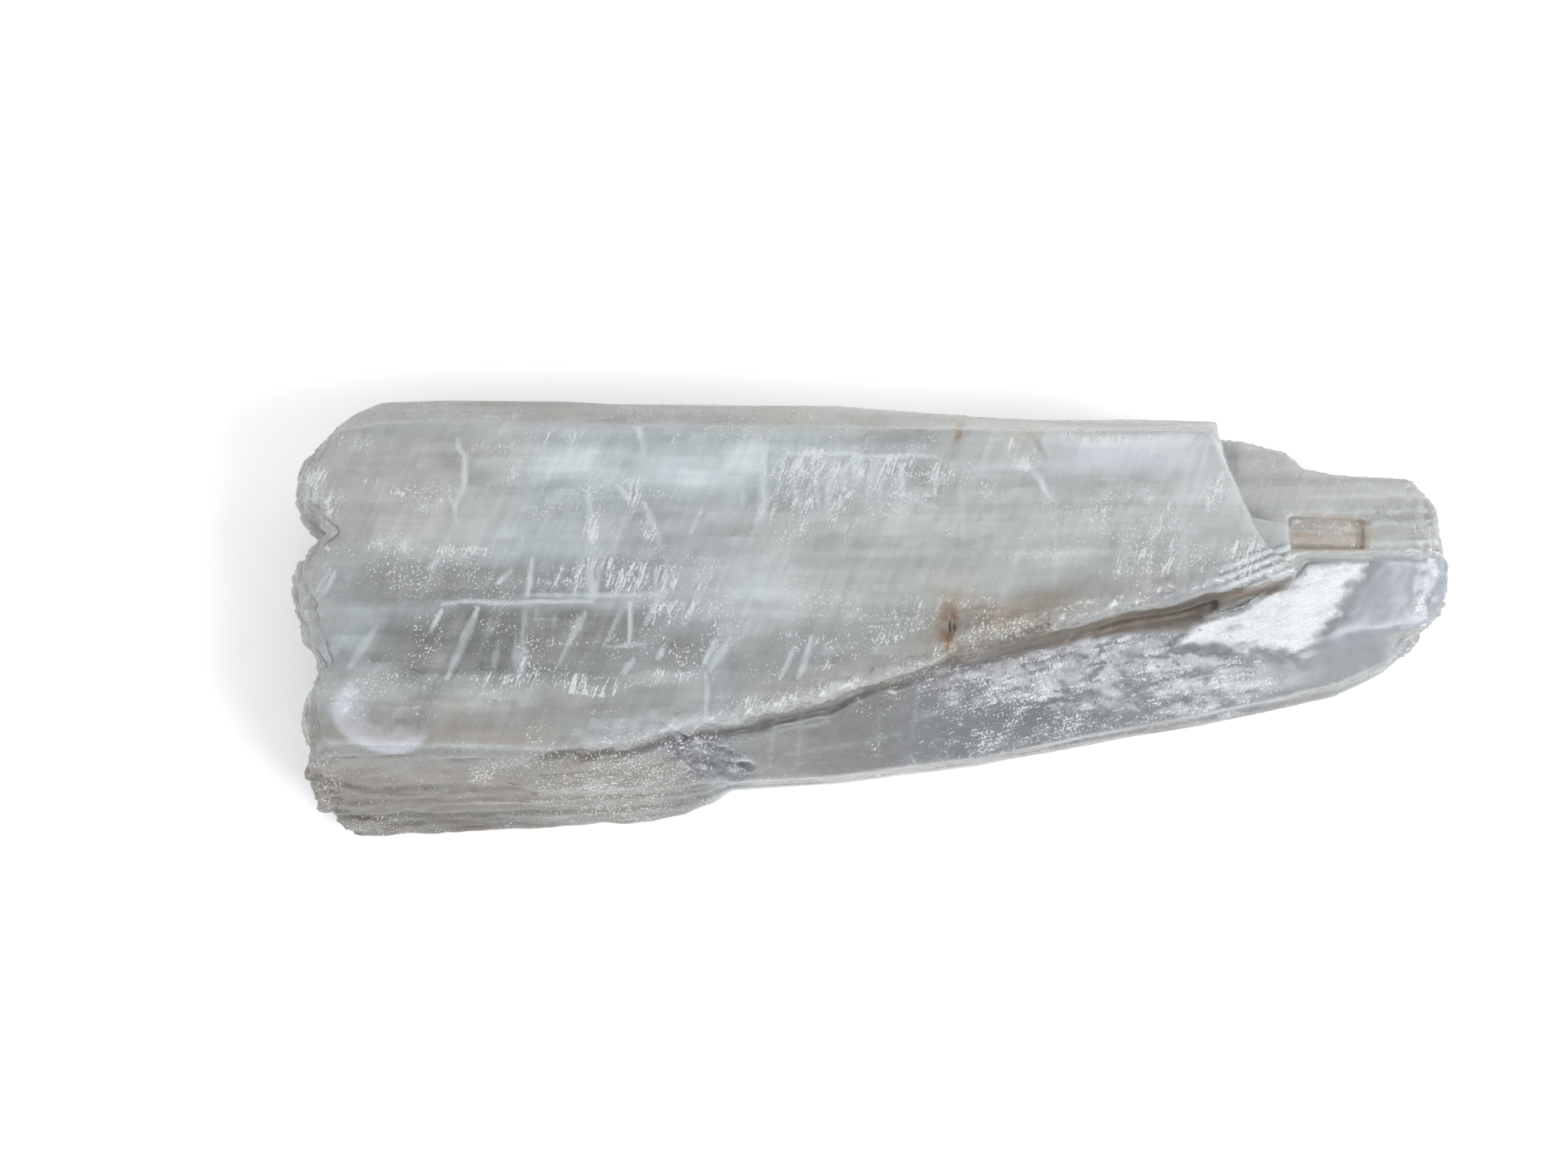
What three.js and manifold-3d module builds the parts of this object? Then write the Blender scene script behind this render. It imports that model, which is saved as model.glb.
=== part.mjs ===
// Selenite crystal: one natural slab of gypsum, split along its perfect cleavage,
// lying on a cleavage face. Millimetres, +Z up. +X runs along the crystal's length,
// +Y towards its back, and the base is at Z = 0.
import * as THREE from "three";
import { mergeVertices } from "three/addons/utils/BufferGeometryUtils.js";
import Module from "manifold-3d";

const wasm = await Module();
wasm.setup();

// Driving dimensions
const HALF_LENGTH = 80;
const HALF_WIDTH = 30;
const THICKNESS = 29; // from the base to the top cleavage face
const TERRACE = 19.5; // height of the low terrace at the right end
const BEVEL_DROP = 6; // the bevel along the back falls this far below the top
const OVERRUN = 4; // how far a blank or a cut runs past the faces that it has to clear
const OVERLAP = 3; // how deep the upper slab is sunk in the lower block

// The long edges of the lower block, from the left end to the right: [x, y, z].
const FRONT_FOOT = [
  [-84, -26.5, 0], [-72, -27, 0], [-60, -26.5, 0], [-30, -25, 0], [-22, -22.5, 0], [-19, -21, 0],
  [-4, -20, 0], [15, -17.5, 0], [30, -14.5, 0], [45, -12, 0], [58, -9, 0], [65, -7.5, 0], [72, -4, 0],
  [84, 6, 0],
];
const FRONT_EDGE = [
  [-84, -29, 3], [-72, -29, 3], [-60, -28.5, 3], [-30, -27, 4], [-26, -26.3, 5], [-22, -25, 7],
  [-19, -23.3, 9], [-4, -22.5, 10], [15, -20, 10], [30, -17, 10], [45, -14.3, 10], [58, -11.5, 9],
  [65, -10, 8.5], [72, -6.7, 8], [77, -2.4, 8], [84, 6.1, 8],
];
const FRONT_SHOULDER = [
  [-84, -24.5, 18], [-60, -24, 19], [-45, -24, 19], [-30, -23.6, 18], [-22, -23, 16], [-19, -22.8, 15],
  [-4, -22, 15], [15, -19.4, 15], [30, -16.1, 14.5], [45, -13.2, 14], [58, -10.4, 13], [65, -8.8, 12],
  [72, -5.6, 11], [84, 6.3, 10],
];
const FRONT_CREASE = [
  [-84, -22.4, 22.5], [-60, -22.2, 23], [-30, -21.5, 22], [-19, -19.8, 20], [-4, -17.5, 19.5],
  [15, -13, 19], [30, -9.5, 18], [45, -4.6, 17.4], [52, -2.9, 17], [65, -2.2, 16], [77, -1.2, 15],
  [84, 6.5, 13],
];
const LEDGE_FOOT = [
  [-84, -20, 26.5], [-58, -20.2, 26.5], [-43, -20.2, 26.5], [-34, -19.7, 25.5], [-25, -18, 25],
  [-17, -16.3, 24.5], [-6.5, -13.6, 23.5], [0, -11.5, 23], [7, -9.5, 22.5], [11.5, -7.5, 22],
  [21, -5.2, 21], [34, -2.3, 20], [44, -0.8, 19.5], [52, 2, 19], [58, 5.2, 18.3], [60, 7.7, 18],
  [72, 8, 17.8], [84, 8, 17],
];
const STEP_HEAD = [
  [-84, -12, 20], [-30, -12, 20], [15, 0, TERRACE], [45, 5, TERRACE], [60, 8.4, TERRACE], [84, 8.6, TERRACE],
];
const BACK_EDGE = [
  [-84, 28, 16], [-4, 27.3, 16], [15, 25.6, 16], [47, 25, 16], [51, 24.4, 19], [57.5, 22.7, 19],
  [60, 20.5, 18.7], [64, 19.7, 18.5], [75, 19.1, 18.2], [77, 17, 18], [78.5, 14, 18], [84, 8.9, 18],
];
const BACK_FOOT = [
  [-84, 25.5, 0], [-4, 25, 0], [15, 23.5, 0], [47, 23, 0], [57.5, 20, 0], [64, 17, 0], [77, 14, 0],
  [84, 8.8, 0],
];

// The long edges of the upper slab. Its front face stands on the lower block as a ledge
// that grows to the right.
const LEDGE_HEAD = [
  [-84, -18.7], [-60, -19.1], [-43, -19.6], [-34, -19], [-25, -17], [-17, -15.4], [-6.5, -12.8], [0, -10.7],
  [7, -8.7], [9.5, -8.2], [11.5, -6.6], [21, -4], [34, -0.4], [39, 0.3], [45.5, 2.4], [52, 3.1], [60, 4.5],
].map(([x, y]) => [x, y, THICKNESS]);
const LEDGE_LEAN = 0.6; // how far the ledge's hidden root stands in front of its foot
const LEDGE_ROOT = LEDGE_FOOT.map(([x, y, z]) => [x, y - LEDGE_LEAN, z - OVERLAP]);
const BACK_CREST = [
  [-84, 18], [-76, 19], [-71, 22.3], [-67, 24], [-58, 24.4], [-43, 23.7], [9, 23], [25, 22.7], [47, 23],
  [60, 23],
].map(([x, y]) => [x, y, THICKNESS]);
const BEVEL_FOOT = [
  [-84, 24], [-76, 24.5], [-71, 27.1], [-67, 28.8], [-58, 29.1], [-43, 29], [-34, 28.6], [-4, 28.3],
  [9, 27.3], [15, 26.6], [25, 26.2], [34, 26.3], [47, 26], [60, 25.3],
].map(([x, y]) => [x, y, THICKNESS - BEVEL_DROP]);
const BACK_UNDERCUT = 1.6; // the back face leans in by this much from the bevel's foot
const BACK_ROOT_HEIGHT = 14;
const BACK_ROOT = BEVEL_FOOT.map(([x, y]) => [x, y - BACK_UNDERCUT, BACK_ROOT_HEIGHT]);

// Where the slab breaks off at the right, at its top and at the terrace,
// from the back to the front: [x, y].
const SLAB_END_TOP = [
  [44.5, 40], [45.8, 22.7], [47, 18.6], [48.6, 14.9], [50.1, 11.2], [52.3, 7.6], [54.6, 5.6], [56.4, 4.4],
  [56.8, -10],
];
const SLAB_END_FOOT = [
  [47.5, 40], [49.6, 25.5], [50.8, 22], [52.2, 18], [53.2, 14.4], [54.6, 10], [57, 7.4], [58, 5], [58.4, -10],
];
const SLAB_END_DEPTH = 8; // the break runs on this far below the terrace, inside the lower block

// The broken ends of the whole crystal at its widest leaf. The left end has three lobes
// with notches between them.
const LEFT_END = [
  [-64, 32], [-71.5, 27.3], [-76, 22.3], [-79.2, 17], [-78.2, 13], [-74.8, 9.4], [-78.8, 6.3], [-79.2, 3],
  [-77.5, -3], [-75, -8.3], [-77.4, -12], [-77.1, -17], [-75.8, -19.2], [-76.8, -22], [-74.8, -26.8],
  [-71.8, -32],
];
const RIGHT_END = [
  [60, -32], [65.6, -11.5], [71.6, -7.7], [75.4, -4.4], [79.2, 0.6], [80.2, 4], [79.6, 10.5], [79.2, 14],
  [78, 17.5], [76.2, 19], [74, 32],
];

// The cleavage leaves, from the base up: each has its top, and how far its two ends stand
// back from the widest leaf.
const LEAVES = [
  { top: 4, left: 1.9, right: 2.4 },
  { top: 8.5, left: 0.9, right: 0.4 },
  { top: 11.3, left: 1.7, right: 0 },
  { top: 16.6, left: 0, right: 0.5 },
  { top: 21.5, left: 0.6, right: 1.2 },
  { top: 25.7, left: 1.2, right: 2 },
  { top: 27.4, left: 2.1, right: 2 },
  { top: THICKNESS + OVERRUN, left: 3.6, right: 2 },
];
const LEAF_STRAY = 0.5; // how far a point of a leaf's end strays along the crystal
const END_ROUGHNESS = 0.09; // how far a break strays, as a share of each straight stretch
const STEP_ROUGHNESS = 0.03;
const BREAK_SEED = 7;
const STEP_SEED = 23;

// Where a leaf parts from the next on a side: its share of the side's height, and how far
// the side steps in there.
const FRONT_PARTINGS = [{ share: 0.34, step: 0.55 }, { share: 0.66, step: 0.35 }];
const BACK_PARTINGS = [{ share: 0.21, step: 0.3 }, { share: 0.58, step: 0.7 }];
const PARTING_HEIGHT = 0.02; // of the side's height

// Shallow steps where a leaf has split off the top face: plan outlines and depths.
const TOP_STEPS = [
  { depth: 0.7, outline: [[-84, 7.6], [-50, 7.4], [-28, 6.2], [-31, 1.1], [-48, 0.3], [-84, 0]] },
  {
    depth: 1.3,
    outline: [[-66, -0.4], [-32, 0.2], [-27, -2.8], [-21, -3.2], [-23, -8.4], [-60, -9.6], [-68, -7]],
  },
  { depth: 0.6, outline: [[-44, -10.2], [-22, -9.2], [-20, -14], [-34, -16], [-42, -16.4]] },
  { depth: 0.5, outline: [[-20, -4], [-9, -3.4], [-5, -9.8], [-12, -10.6], [-20.5, -9.2]] },
  { depth: 0.5, outline: [[-12.5, 19.5], [2, 20.5], [0, 13], [-13, 13]] },
  { depth: 0.6, outline: [[24, 21.5], [43.5, 21.2], [45.6, 12.8], [24.8, 13.2]] },
  { depth: 0.5, outline: [[30, 9.5], [49, 9.5], [51, 3.5], [36, 3.2]] },
  { depth: 0.9, outline: [[-69, 20.6], [-36, 20.2], [-35, 16.5], [-52, 15.2], [-62, 10.4], [-70, 14]] },
];

// The shell-shaped chip at the left of the front edge.
const CHIP_CENTRE = [-64.4, -14.3, 34];
const CHIP_RADII = [8.6, 6.8, 7.6];
const CHIP_SEGMENTS = [24, 16];

// The crumbled chamfer on the ledge, beside the open crack: the outlines of the cut at its
// bottom and at its top.
const LEDGE_CHAMFER = {
  bottom: 25.4,
  top: THICKNESS + OVERRUN,
  foot: [[11.2, -12], [11.2, -7.6], [24, -4.2], [26, -12]],
  head: [[11.2, -12], [11.2, 5.1], [23, 3.4], [26, -12]],
};

// Smaller plates and cuts at the right end.
const TIP_PLATE = { bottom: 15, top: 24.2, outline: [[49, 13], [56.5, 11.4], [57.3, 3.9], [49, 3]] };
const SLIVER_PLATE = {
  bottom: 15, top: 21.6, outline: [[41, 0], [44, 1.9], [56.6, 4.4], [51, 0.7], [46, -0.8]],
};
const LEDGE_CREVICE = {
  bottom: 20.6, top: 23.2, outline: [[24, -6], [47, -3], [47, 3.6], [40, 2], [28, -1.6]],
};
const STAINED_POCKET = { bottom: 17.9, top: 22, outline: [[57.6, 13.6], [68, 13.2], [68, 9], [57.6, 9]] };
const POCKET_BAR = { bottom: 15, top: 18.9, outline: [[57.6, 11.9], [67, 11.6], [67, 9.5], [57.6, 9.7]] };
const TERRACE_STEP = { bottom: 18.7, top: 22, outline: [[61.5, 26], [61.5, 16.6], [84, 15.8], [84, 26]] };

// The open crack across the slab's front: its line from above, its depth, and its width
// at the top and at its root.
const CRACK = { from: [10.4, 3], to: [10.9, -10], depth: 7, mouth: 1.1, root: 0.1 };

const MERGE_DISTANCE = 1e-4; // points closer than this are one point

// A reproducible stream of numbers between -1 and 1.
function randomStream(seed) {
  let state = seed;
  return () => {
    state = (Math.imul(state, 1664525) + 1013904223) >>> 0;
    return (state / 2 ** 31) - 1;
  };
}

// Breaks each step of a line in four and pushes the new points sideways, as a fracture
// strays.
function fracture(points, roughness, random) {
  const broken = [];
  points.forEach(([x, y], i) => {
    broken.push([x, y]);
    if (i === points.length - 1) return;
    const [nextX, nextY] = points[i + 1];
    for (const share of [0.25, 0.5, 0.75]) {
      const stray = roughness * random();
      broken.push([
        x + share * (nextX - x) - stray * (nextY - y),
        y + share * (nextY - y) + stray * (nextX - x),
      ]);
    }
  });
  return broken;
}

// A solid for the boolean steps, from a closed geometry.
function solidOf(geometry) {
  geometry.deleteAttribute("normal");
  geometry.deleteAttribute("uv");
  const merged = mergeVertices(geometry, MERGE_DISTANCE);
  return new wasm.Manifold(new wasm.Mesh({
    numProp: 3,
    vertProperties: new Float32Array(merged.attributes.position.array),
    triVerts: new Uint32Array(merged.index.array),
  }));
}

// A closed skin over rings of points. Each ring has the same count, and the first and
// last are capped.
function skin(rings, cap) {
  const count = rings[0].length;
  const index = [];
  for (let r = 0; r + 1 < rings.length; r++) {
    for (let i = 0; i < count; i++) {
      const a = r * count + i;
      const b = r * count + (i + 1) % count;
      index.push(a, b, b + count, a, b + count, a + count);
    }
  }
  const last = (rings.length - 1) * count;
  for (const [a, b, c] of cap) index.push(a, c, b, last + a, last + b, last + c);
  const geometry = new THREE.BufferGeometry();
  geometry.setAttribute("position", new THREE.Float32BufferAttribute(rings.flat(2), 3));
  geometry.setIndex(index);
  return geometry;
}

// Triangles that close a simple outline, wound counter-clockwise.
function capOf(outline) {
  return THREE.ShapeUtils.triangulateShape(outline.map(([a, b]) => new THREE.Vector2(a, b)), []);
}

// A block between two outlines of the same count, one at its bottom and one at its top.
function block(bottomOutline, topOutline, bottom, top) {
  const flat = bottomOutline.map(([x, y]) => new THREE.Vector2(x, y));
  const turn = THREE.ShapeUtils.isClockWise(flat) ? (list) => [...list].reverse() : (list) => [...list];
  const low = turn(bottomOutline);
  const high = turn(topOutline);
  return solidOf(skin([low.map(([x, y]) => [x, y, bottom]), high.map(([x, y]) => [x, y, top])], capOf(low)));
}

const prism = ({ outline, bottom, top }) => block(outline, outline, bottom, top);

// The point of a long edge at x.
function edgeAt(edge, x) {
  const next = Math.max(1, edge.findIndex(([along]) => along >= x));
  const [x0, y0, z0] = edge[next - 1];
  const [x1, y1, z1] = edge[next];
  const share = (x - x0) / (x1 - x0);
  return [x, y0 + share * (y1 - y0), z0 + share * (z1 - z0)];
}

// A blank lofted along X through long edges, which are listed round its section,
// counter-clockwise from the right.
function loft(edges) {
  const stations = [...new Set(edges.flatMap((edge) => edge.map(([x]) => x)))].sort((a, b) => a - b);
  const start = Math.max(...edges.map((edge) => edge[0][0]));
  const end = Math.min(...edges.map((edge) => edge.at(-1)[0]));
  const rings = stations
    .filter((x) => x >= start && x <= end)
    .map((x) => edges.map((edge) => edgeAt(edge, x)));
  return solidOf(skin(rings, capOf(rings[0].map(([, y, z]) => [y, z]))));
}

// Two edges at each parting on the side between a lower and an upper edge: where it
// starts, and where it has stepped in.
function partings(lower, upper, list, inward) {
  const stations = [...new Set([...lower, ...upper].map(([x]) => x))]
    .sort((a, b) => a - b)
    .filter((x) => x <= lower.at(-1)[0] && x <= upper.at(-1)[0]);
  const between = (share, shift) => stations.map((x) => {
    const [, y0, z0] = edgeAt(lower, x);
    const [, y1, z1] = edgeAt(upper, x);
    return [x, y0 + share * (y1 - y0) + shift, z0 + share * (z1 - z0)];
  });
  return list.flatMap(({ share, step }) => [
    between(share, 0),
    between(share + PARTING_HEIGHT, inward * step),
  ]);
}

function lowerBlock() {
  return loft([
    BACK_FOOT, FRONT_FOOT, FRONT_EDGE,
    ...partings(FRONT_EDGE, FRONT_SHOULDER, FRONT_PARTINGS, 1),
    FRONT_SHOULDER, FRONT_CREASE, LEDGE_FOOT, STEP_HEAD, BACK_EDGE,
    ...partings(BACK_FOOT, BACK_EDGE, BACK_PARTINGS, -1).reverse(),
  ].reverse());
}

function upperSlab() {
  const blank = loft([BACK_ROOT, LEDGE_ROOT, LEDGE_HEAD, BACK_CREST, BEVEL_FOOT].reverse());
  const left = -HALF_LENGTH - 2 * OVERRUN;
  const close = [[left, SLAB_END_TOP.at(-1)[1] - HALF_WIDTH], [left, SLAB_END_TOP[0][1]]];
  const foot = [...SLAB_END_FOOT, ...close];
  const head = [...SLAB_END_TOP, ...close];
  return blank.intersect(block(foot, head, TERRACE - SLAB_END_DEPTH, THICKNESS + OVERRUN));
}

// The outline of one leaf: the ends drawn back and broken afresh, the long sides left
// clear of the blank.
function leafOutline({ left, right }, random) {
  const drawnBack = (points, inset) => points.map(([x, y]) => (
    [x - Math.sign(x) * (inset + LEAF_STRAY * random()), y]
  ));
  return [
    ...fracture(drawnBack(LEFT_END, left), END_ROUGHNESS, random),
    ...fracture(drawnBack(RIGHT_END, right), END_ROUGHNESS, random),
  ];
}

// Breaks the ends of a blank leaf by leaf.
function breakEnds(blank) {
  const random = randomStream(BREAK_SEED);
  let bottom = -OVERRUN;
  let broken = null;
  for (const leaf of LEAVES) {
    const outline = leafOutline(leaf, random);
    const part = blank.intersect(prism({ outline, bottom, top: leaf.top }));
    broken = broken ? broken.add(part) : part;
    bottom = leaf.top;
  }
  return broken;
}

// Splits the shallow leaves off the top face, each along a broken line.
function splitTop(solid) {
  const random = randomStream(STEP_SEED);
  let split = solid;
  for (const { outline, depth } of TOP_STEPS) {
    const broken = fracture([...outline, outline[0]], STEP_ROUGHNESS, random).slice(0, -1);
    split = split.subtract(prism({ outline: broken, bottom: THICKNESS - depth, top: THICKNESS + OVERRUN }));
  }
  return split;
}

function shellChip() {
  const geometry = new THREE.SphereGeometry(1, ...CHIP_SEGMENTS);
  geometry.scale(...CHIP_RADII);
  geometry.translate(...CHIP_CENTRE);
  return solidOf(geometry);
}

function ledgeChamfer() {
  const { foot, head, bottom, top } = LEDGE_CHAMFER;
  return block(foot, head, bottom, top);
}

function openCrack() {
  const [x0, y0] = CRACK.from;
  const [x1, y1] = CRACK.to;
  const slit = (width) => {
    const half = width / 2;
    return [[x0 - half, y0], [x0 + half, y0], [x1 + half, y1], [x1 - half, y1]];
  };
  return block(slit(CRACK.root), slit(CRACK.mouth), THICKNESS - CRACK.depth, THICKNESS + OVERRUN);
}

function crystalSolid() {
  let solid = lowerBlock().add(upperSlab());
  solid = solid.add(prism(TIP_PLATE)).add(prism(SLIVER_PLATE));
  solid = solid.subtract(prism(LEDGE_CREVICE)).subtract(prism(STAINED_POCKET)).add(prism(POCKET_BAR));
  solid = splitTop(solid.subtract(prism(TERRACE_STEP)));
  return breakEnds(solid.subtract(shellChip()).subtract(ledgeChamfer()).subtract(openCrack()));
}

// The finished solid as a geometry with the origin under the middle of its box.
function crystalGeometry() {
  const mesh = crystalSolid().getMesh();
  const geometry = new THREE.BufferGeometry();
  geometry.setAttribute("position", new THREE.BufferAttribute(mesh.vertProperties, mesh.numProp));
  geometry.setIndex(new THREE.BufferAttribute(mesh.triVerts, 1));
  geometry.computeBoundingBox();
  const { min, max } = geometry.boundingBox;
  geometry.translate(-(min.x + max.x) / 2, -(min.y + max.y) / 2, -min.z);
  geometry.computeVertexNormals();
  return geometry;
}

const selenite = new THREE.MeshStandardMaterial({
  color: 0xb4b7b4,
  roughness: 0.3,
  metalness: 0,
  transparent: true,
  opacity: 0.75,
});

const crystal = new THREE.Mesh(crystalGeometry(), selenite);
crystal.name = "selenite_crystal";

const part = new THREE.Group();
part.add(crystal);

export default part;
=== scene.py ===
# %% [markdown]
# # A split selenite crystal
# Selenite is clear gypsum. It splits into flat leaves as mica does, so a slab of it has a flat,
# pearly top and base, stepped sides, and ends where each leaf has snapped on its own line.
# This lesson dresses the solid of such a slab: it makes a dense skin from the solid, carves the
# fine relief of the leaves into it, marks where the crystal is frosted, clear or stained, and then
# builds one see-through material that reads those marks.

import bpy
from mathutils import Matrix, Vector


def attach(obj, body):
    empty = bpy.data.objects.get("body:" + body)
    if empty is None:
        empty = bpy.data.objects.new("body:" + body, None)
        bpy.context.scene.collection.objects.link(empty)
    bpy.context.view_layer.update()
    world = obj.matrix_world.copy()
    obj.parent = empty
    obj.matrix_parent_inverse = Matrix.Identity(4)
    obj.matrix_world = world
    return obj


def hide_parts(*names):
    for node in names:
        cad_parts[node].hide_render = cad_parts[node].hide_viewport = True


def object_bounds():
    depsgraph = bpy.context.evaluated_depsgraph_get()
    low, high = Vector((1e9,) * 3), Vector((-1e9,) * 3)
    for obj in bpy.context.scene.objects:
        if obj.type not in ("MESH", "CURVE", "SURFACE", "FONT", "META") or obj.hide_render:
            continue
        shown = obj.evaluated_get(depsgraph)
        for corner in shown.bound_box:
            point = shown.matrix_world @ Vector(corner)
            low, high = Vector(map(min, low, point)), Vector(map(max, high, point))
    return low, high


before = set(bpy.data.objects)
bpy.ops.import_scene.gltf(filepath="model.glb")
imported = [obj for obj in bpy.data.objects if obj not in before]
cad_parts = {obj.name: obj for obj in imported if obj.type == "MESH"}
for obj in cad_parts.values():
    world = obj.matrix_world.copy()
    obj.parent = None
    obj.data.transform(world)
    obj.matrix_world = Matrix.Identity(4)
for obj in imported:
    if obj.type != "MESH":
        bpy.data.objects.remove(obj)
cad_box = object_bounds()
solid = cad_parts["selenite_crystal"]
print("the solid has", len(solid.data.polygons), "faces and its box is", cad_box)

# %% [markdown]
# ## The camera
# The slab is looked at from almost straight above, a little from the front. A camera is placed by
# a point to look at, a distance and an elevation, and its lens follows from how wide the picture is
# at that point.

# %% Place the camera
import math

import bpy
import numpy as np
from mathutils import Vector

MM = 0.001
LOOK_AT = Vector((-12.2, 4.25, 15)) * MM
VIEW_ELEVATION = math.radians(80)
VIEW_DISTANCE = 420 * MM
PICTURE_WIDTH = 217 * MM

scene = bpy.context.scene
lens = bpy.data.cameras.new("camera")
lens.lens = lens.sensor_width * VIEW_DISTANCE / PICTURE_WIDTH
camera = bpy.data.objects.new("camera", lens)
towards_viewer = Vector((0, -math.cos(VIEW_ELEVATION), math.sin(VIEW_ELEVATION)))
camera.location = LOOK_AT + VIEW_DISTANCE * towards_viewer
camera.rotation_euler = (math.pi / 2 - VIEW_ELEVATION, 0, 0)
scene.collection.objects.link(camera)
scene.camera = camera
print("the lens is", round(lens.lens, 1), "mm")

# %% [markdown]
# ## Light and floor
# A see-through crystal shows what is round it, so the light matters as much as the material.
# A pale sky all round and a white floor give the even light of a photo table.

# %% Light the set
SKY_COLOUR = (0.975, 0.985, 1.0, 1)
SKY_STRENGTH = 1.06

scene.view_settings.view_transform = "Standard"
sky = bpy.data.worlds.new("pale_sky")
sky.use_nodes = True
background = sky.node_tree.nodes["Background"]
background.inputs["Color"].default_value = SKY_COLOUR
background.inputs["Strength"].default_value = SKY_STRENGTH
scene.world = sky
print("the sky has a strength of", SKY_STRENGTH)

# %% Lay the floor
FLOOR_HALF = 3.0
FLOOR_DROP = 0.05 * MM
FLOOR_CORNERS = [(-1, -1), (1, -1), (1, 1), (-1, 1)]
FLOOR_COLOUR = (0.97, 0.97, 0.97, 1)
FLOOR_ROUGHNESS = 0.7

floor_points = [(x * FLOOR_HALF, y * FLOOR_HALF, -FLOOR_DROP) for x, y in FLOOR_CORNERS]
floor_mesh = bpy.data.meshes.new("floor")
floor_mesh.from_pydata(floor_points, [], [(0, 1, 2, 3)])
floor = bpy.data.objects.new("floor", floor_mesh)
scene.collection.objects.link(floor)

floor_finish = bpy.data.materials.new("pale_floor")
floor_finish.use_nodes = True
floor_shader = floor_finish.node_tree.nodes["Principled BSDF"]
floor_shader.inputs["Base Color"].default_value = FLOOR_COLOUR
floor_shader.inputs["Roughness"].default_value = FLOOR_ROUGHNESS
floor_mesh.materials.append(floor_finish)
print("the floor is", 2 * FLOOR_HALF, "m wide")

# %% [markdown]
# ## A dense skin
# The solid has flat facets, many of them large and thin, and dividing those would leave them thin.
# A voxel remesh covers the same form with small even squares, which leaves can then be carved into,
# and a little smoothing wears the straight creases down to the soft edges of a soft mineral.

# %% Remesh the solid
import bmesh

VOXEL = 0.33 * MM
WELD_DISTANCE = 0.001 * MM
WEAR_STEPS = 2
SMOOTHING_SHARE = 0.5


def applied(piece):
    """Applies a piece's modifiers to its mesh."""
    evaluated = piece.evaluated_get(bpy.context.evaluated_depsgraph_get())
    mesh = bpy.data.meshes.new_from_object(evaluated)
    piece.modifiers.clear()
    piece.data = mesh
    return mesh


def smooth(piece, steps, group=""):
    """Adds a smoothing step to a piece, all over or on one group of its points."""
    smoothing = piece.modifiers.new("smoothing", "SMOOTH")
    smoothing.factor = SMOOTHING_SHARE
    smoothing.iterations = steps
    smoothing.vertex_group = group


welded = bmesh.new()
welded.from_mesh(solid.data)
bmesh.ops.remove_doubles(welded, verts=welded.verts, dist=WELD_DISTANCE)
blank = bpy.data.meshes.new("split_crystal")
welded.to_mesh(blank)
welded.free()
crystal = bpy.data.objects.new("split_crystal", blank)
scene.collection.objects.link(crystal)
remesh = crystal.modifiers.new("squares", "REMESH")
remesh.mode = "VOXEL"
remesh.voxel_size = VOXEL
smooth(crystal, WEAR_STEPS)
skin = applied(crystal)
print("the skin has", len(skin.vertices), "points and", len(skin.polygons), "squares")


# %% Read the points
def read_points(mesh):
    """The points of a mesh in millimetres, and their normals."""
    places = np.zeros(len(mesh.vertices) * 3)
    mesh.vertices.foreach_get("co", places)
    directions = np.zeros(len(mesh.vertices) * 3)
    mesh.vertices.foreach_get("normal", directions)
    return places.reshape(-1, 3) / MM, directions.reshape(-1, 3)


points, normals = read_points(skin)
print("lowest", points.min(0).round(2), "highest", points.max(0).round(2))

# %% [markdown]
# ## Noise with a grain
# Nothing on a crystal is random in every direction: its breaks follow its leaves. The noise used
# for carving therefore has a cell of its own length, width and height, and can be turned to run
# along the ledge or along the slanting fracture that gypsum has at 66 degrees to its length.

# %% Noise that can be stretched
from itertools import product

HASH_FACTORS = np.array([73856093, 19349663, 83492791], dtype=np.int64)
SEED_FACTOR = 668265263
MIX_FACTOR = 1274126177
HASH_TOP = 0xFFFF


def hashed(cells, seed):
    """A repeatable number from -1 to 1 for each whole-numbered cell."""
    mixed = (cells.astype(np.int64) * HASH_FACTORS[: cells.shape[1]]).sum(1) + seed * SEED_FACTOR
    mixed = (mixed ^ (mixed >> 13)) * MIX_FACTOR
    return ((mixed ^ (mixed >> 16)) & HASH_TOP) / (HASH_TOP / 2) - 1


def grain(places, cell, seed):
    """Smooth noise from -1 to 1 whose grains are as long, wide and high as the cell."""
    scaled = places / np.asarray(cell, float)
    corner = np.floor(scaled)
    share = scaled - corner
    share = share * share * (3 - 2 * share)
    total = np.zeros(len(places))
    for step in product((0, 1), repeat=3):
        weight = np.where(step, share, 1 - share).prod(1)
        total += weight * hashed(corner + step, seed)
    return total


def layered_grain(places, cell, seed, layers=3):
    """Noise with finer grains laid over coarse ones."""
    total = np.zeros(len(places))
    for layer in range(layers):
        total += grain(places, np.asarray(cell, float) / 2**layer, seed + layer) / 2**layer
    return total


print("noise at the first three points:", layered_grain(points[:3], (6, 6, 6), 1).round(2))

# %% Turning and soft steps
FRACTURE_ANGLE = math.radians(66)
LEDGE_ANGLE = math.radians(14)


def turned(places, angle):
    """The points seen along an axis that is turned from X by an angle, for noise that runs that way."""
    along = places[:, 0] * math.cos(angle) + places[:, 1] * math.sin(angle)
    across = places[:, 1] * math.cos(angle) - places[:, 0] * math.sin(angle)
    return np.column_stack([along, across, places[:, 2]])


def rise(value, low, high):
    """0 below low, 1 above high and a soft step between them. High may be the lower one."""
    share = np.clip((value - low) / (high - low), 0, 1)
    return share * share * (3 - 2 * share)


print("turned along the ledge, the first point is at", turned(points[:1], LEDGE_ANGLE).round(1))

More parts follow.
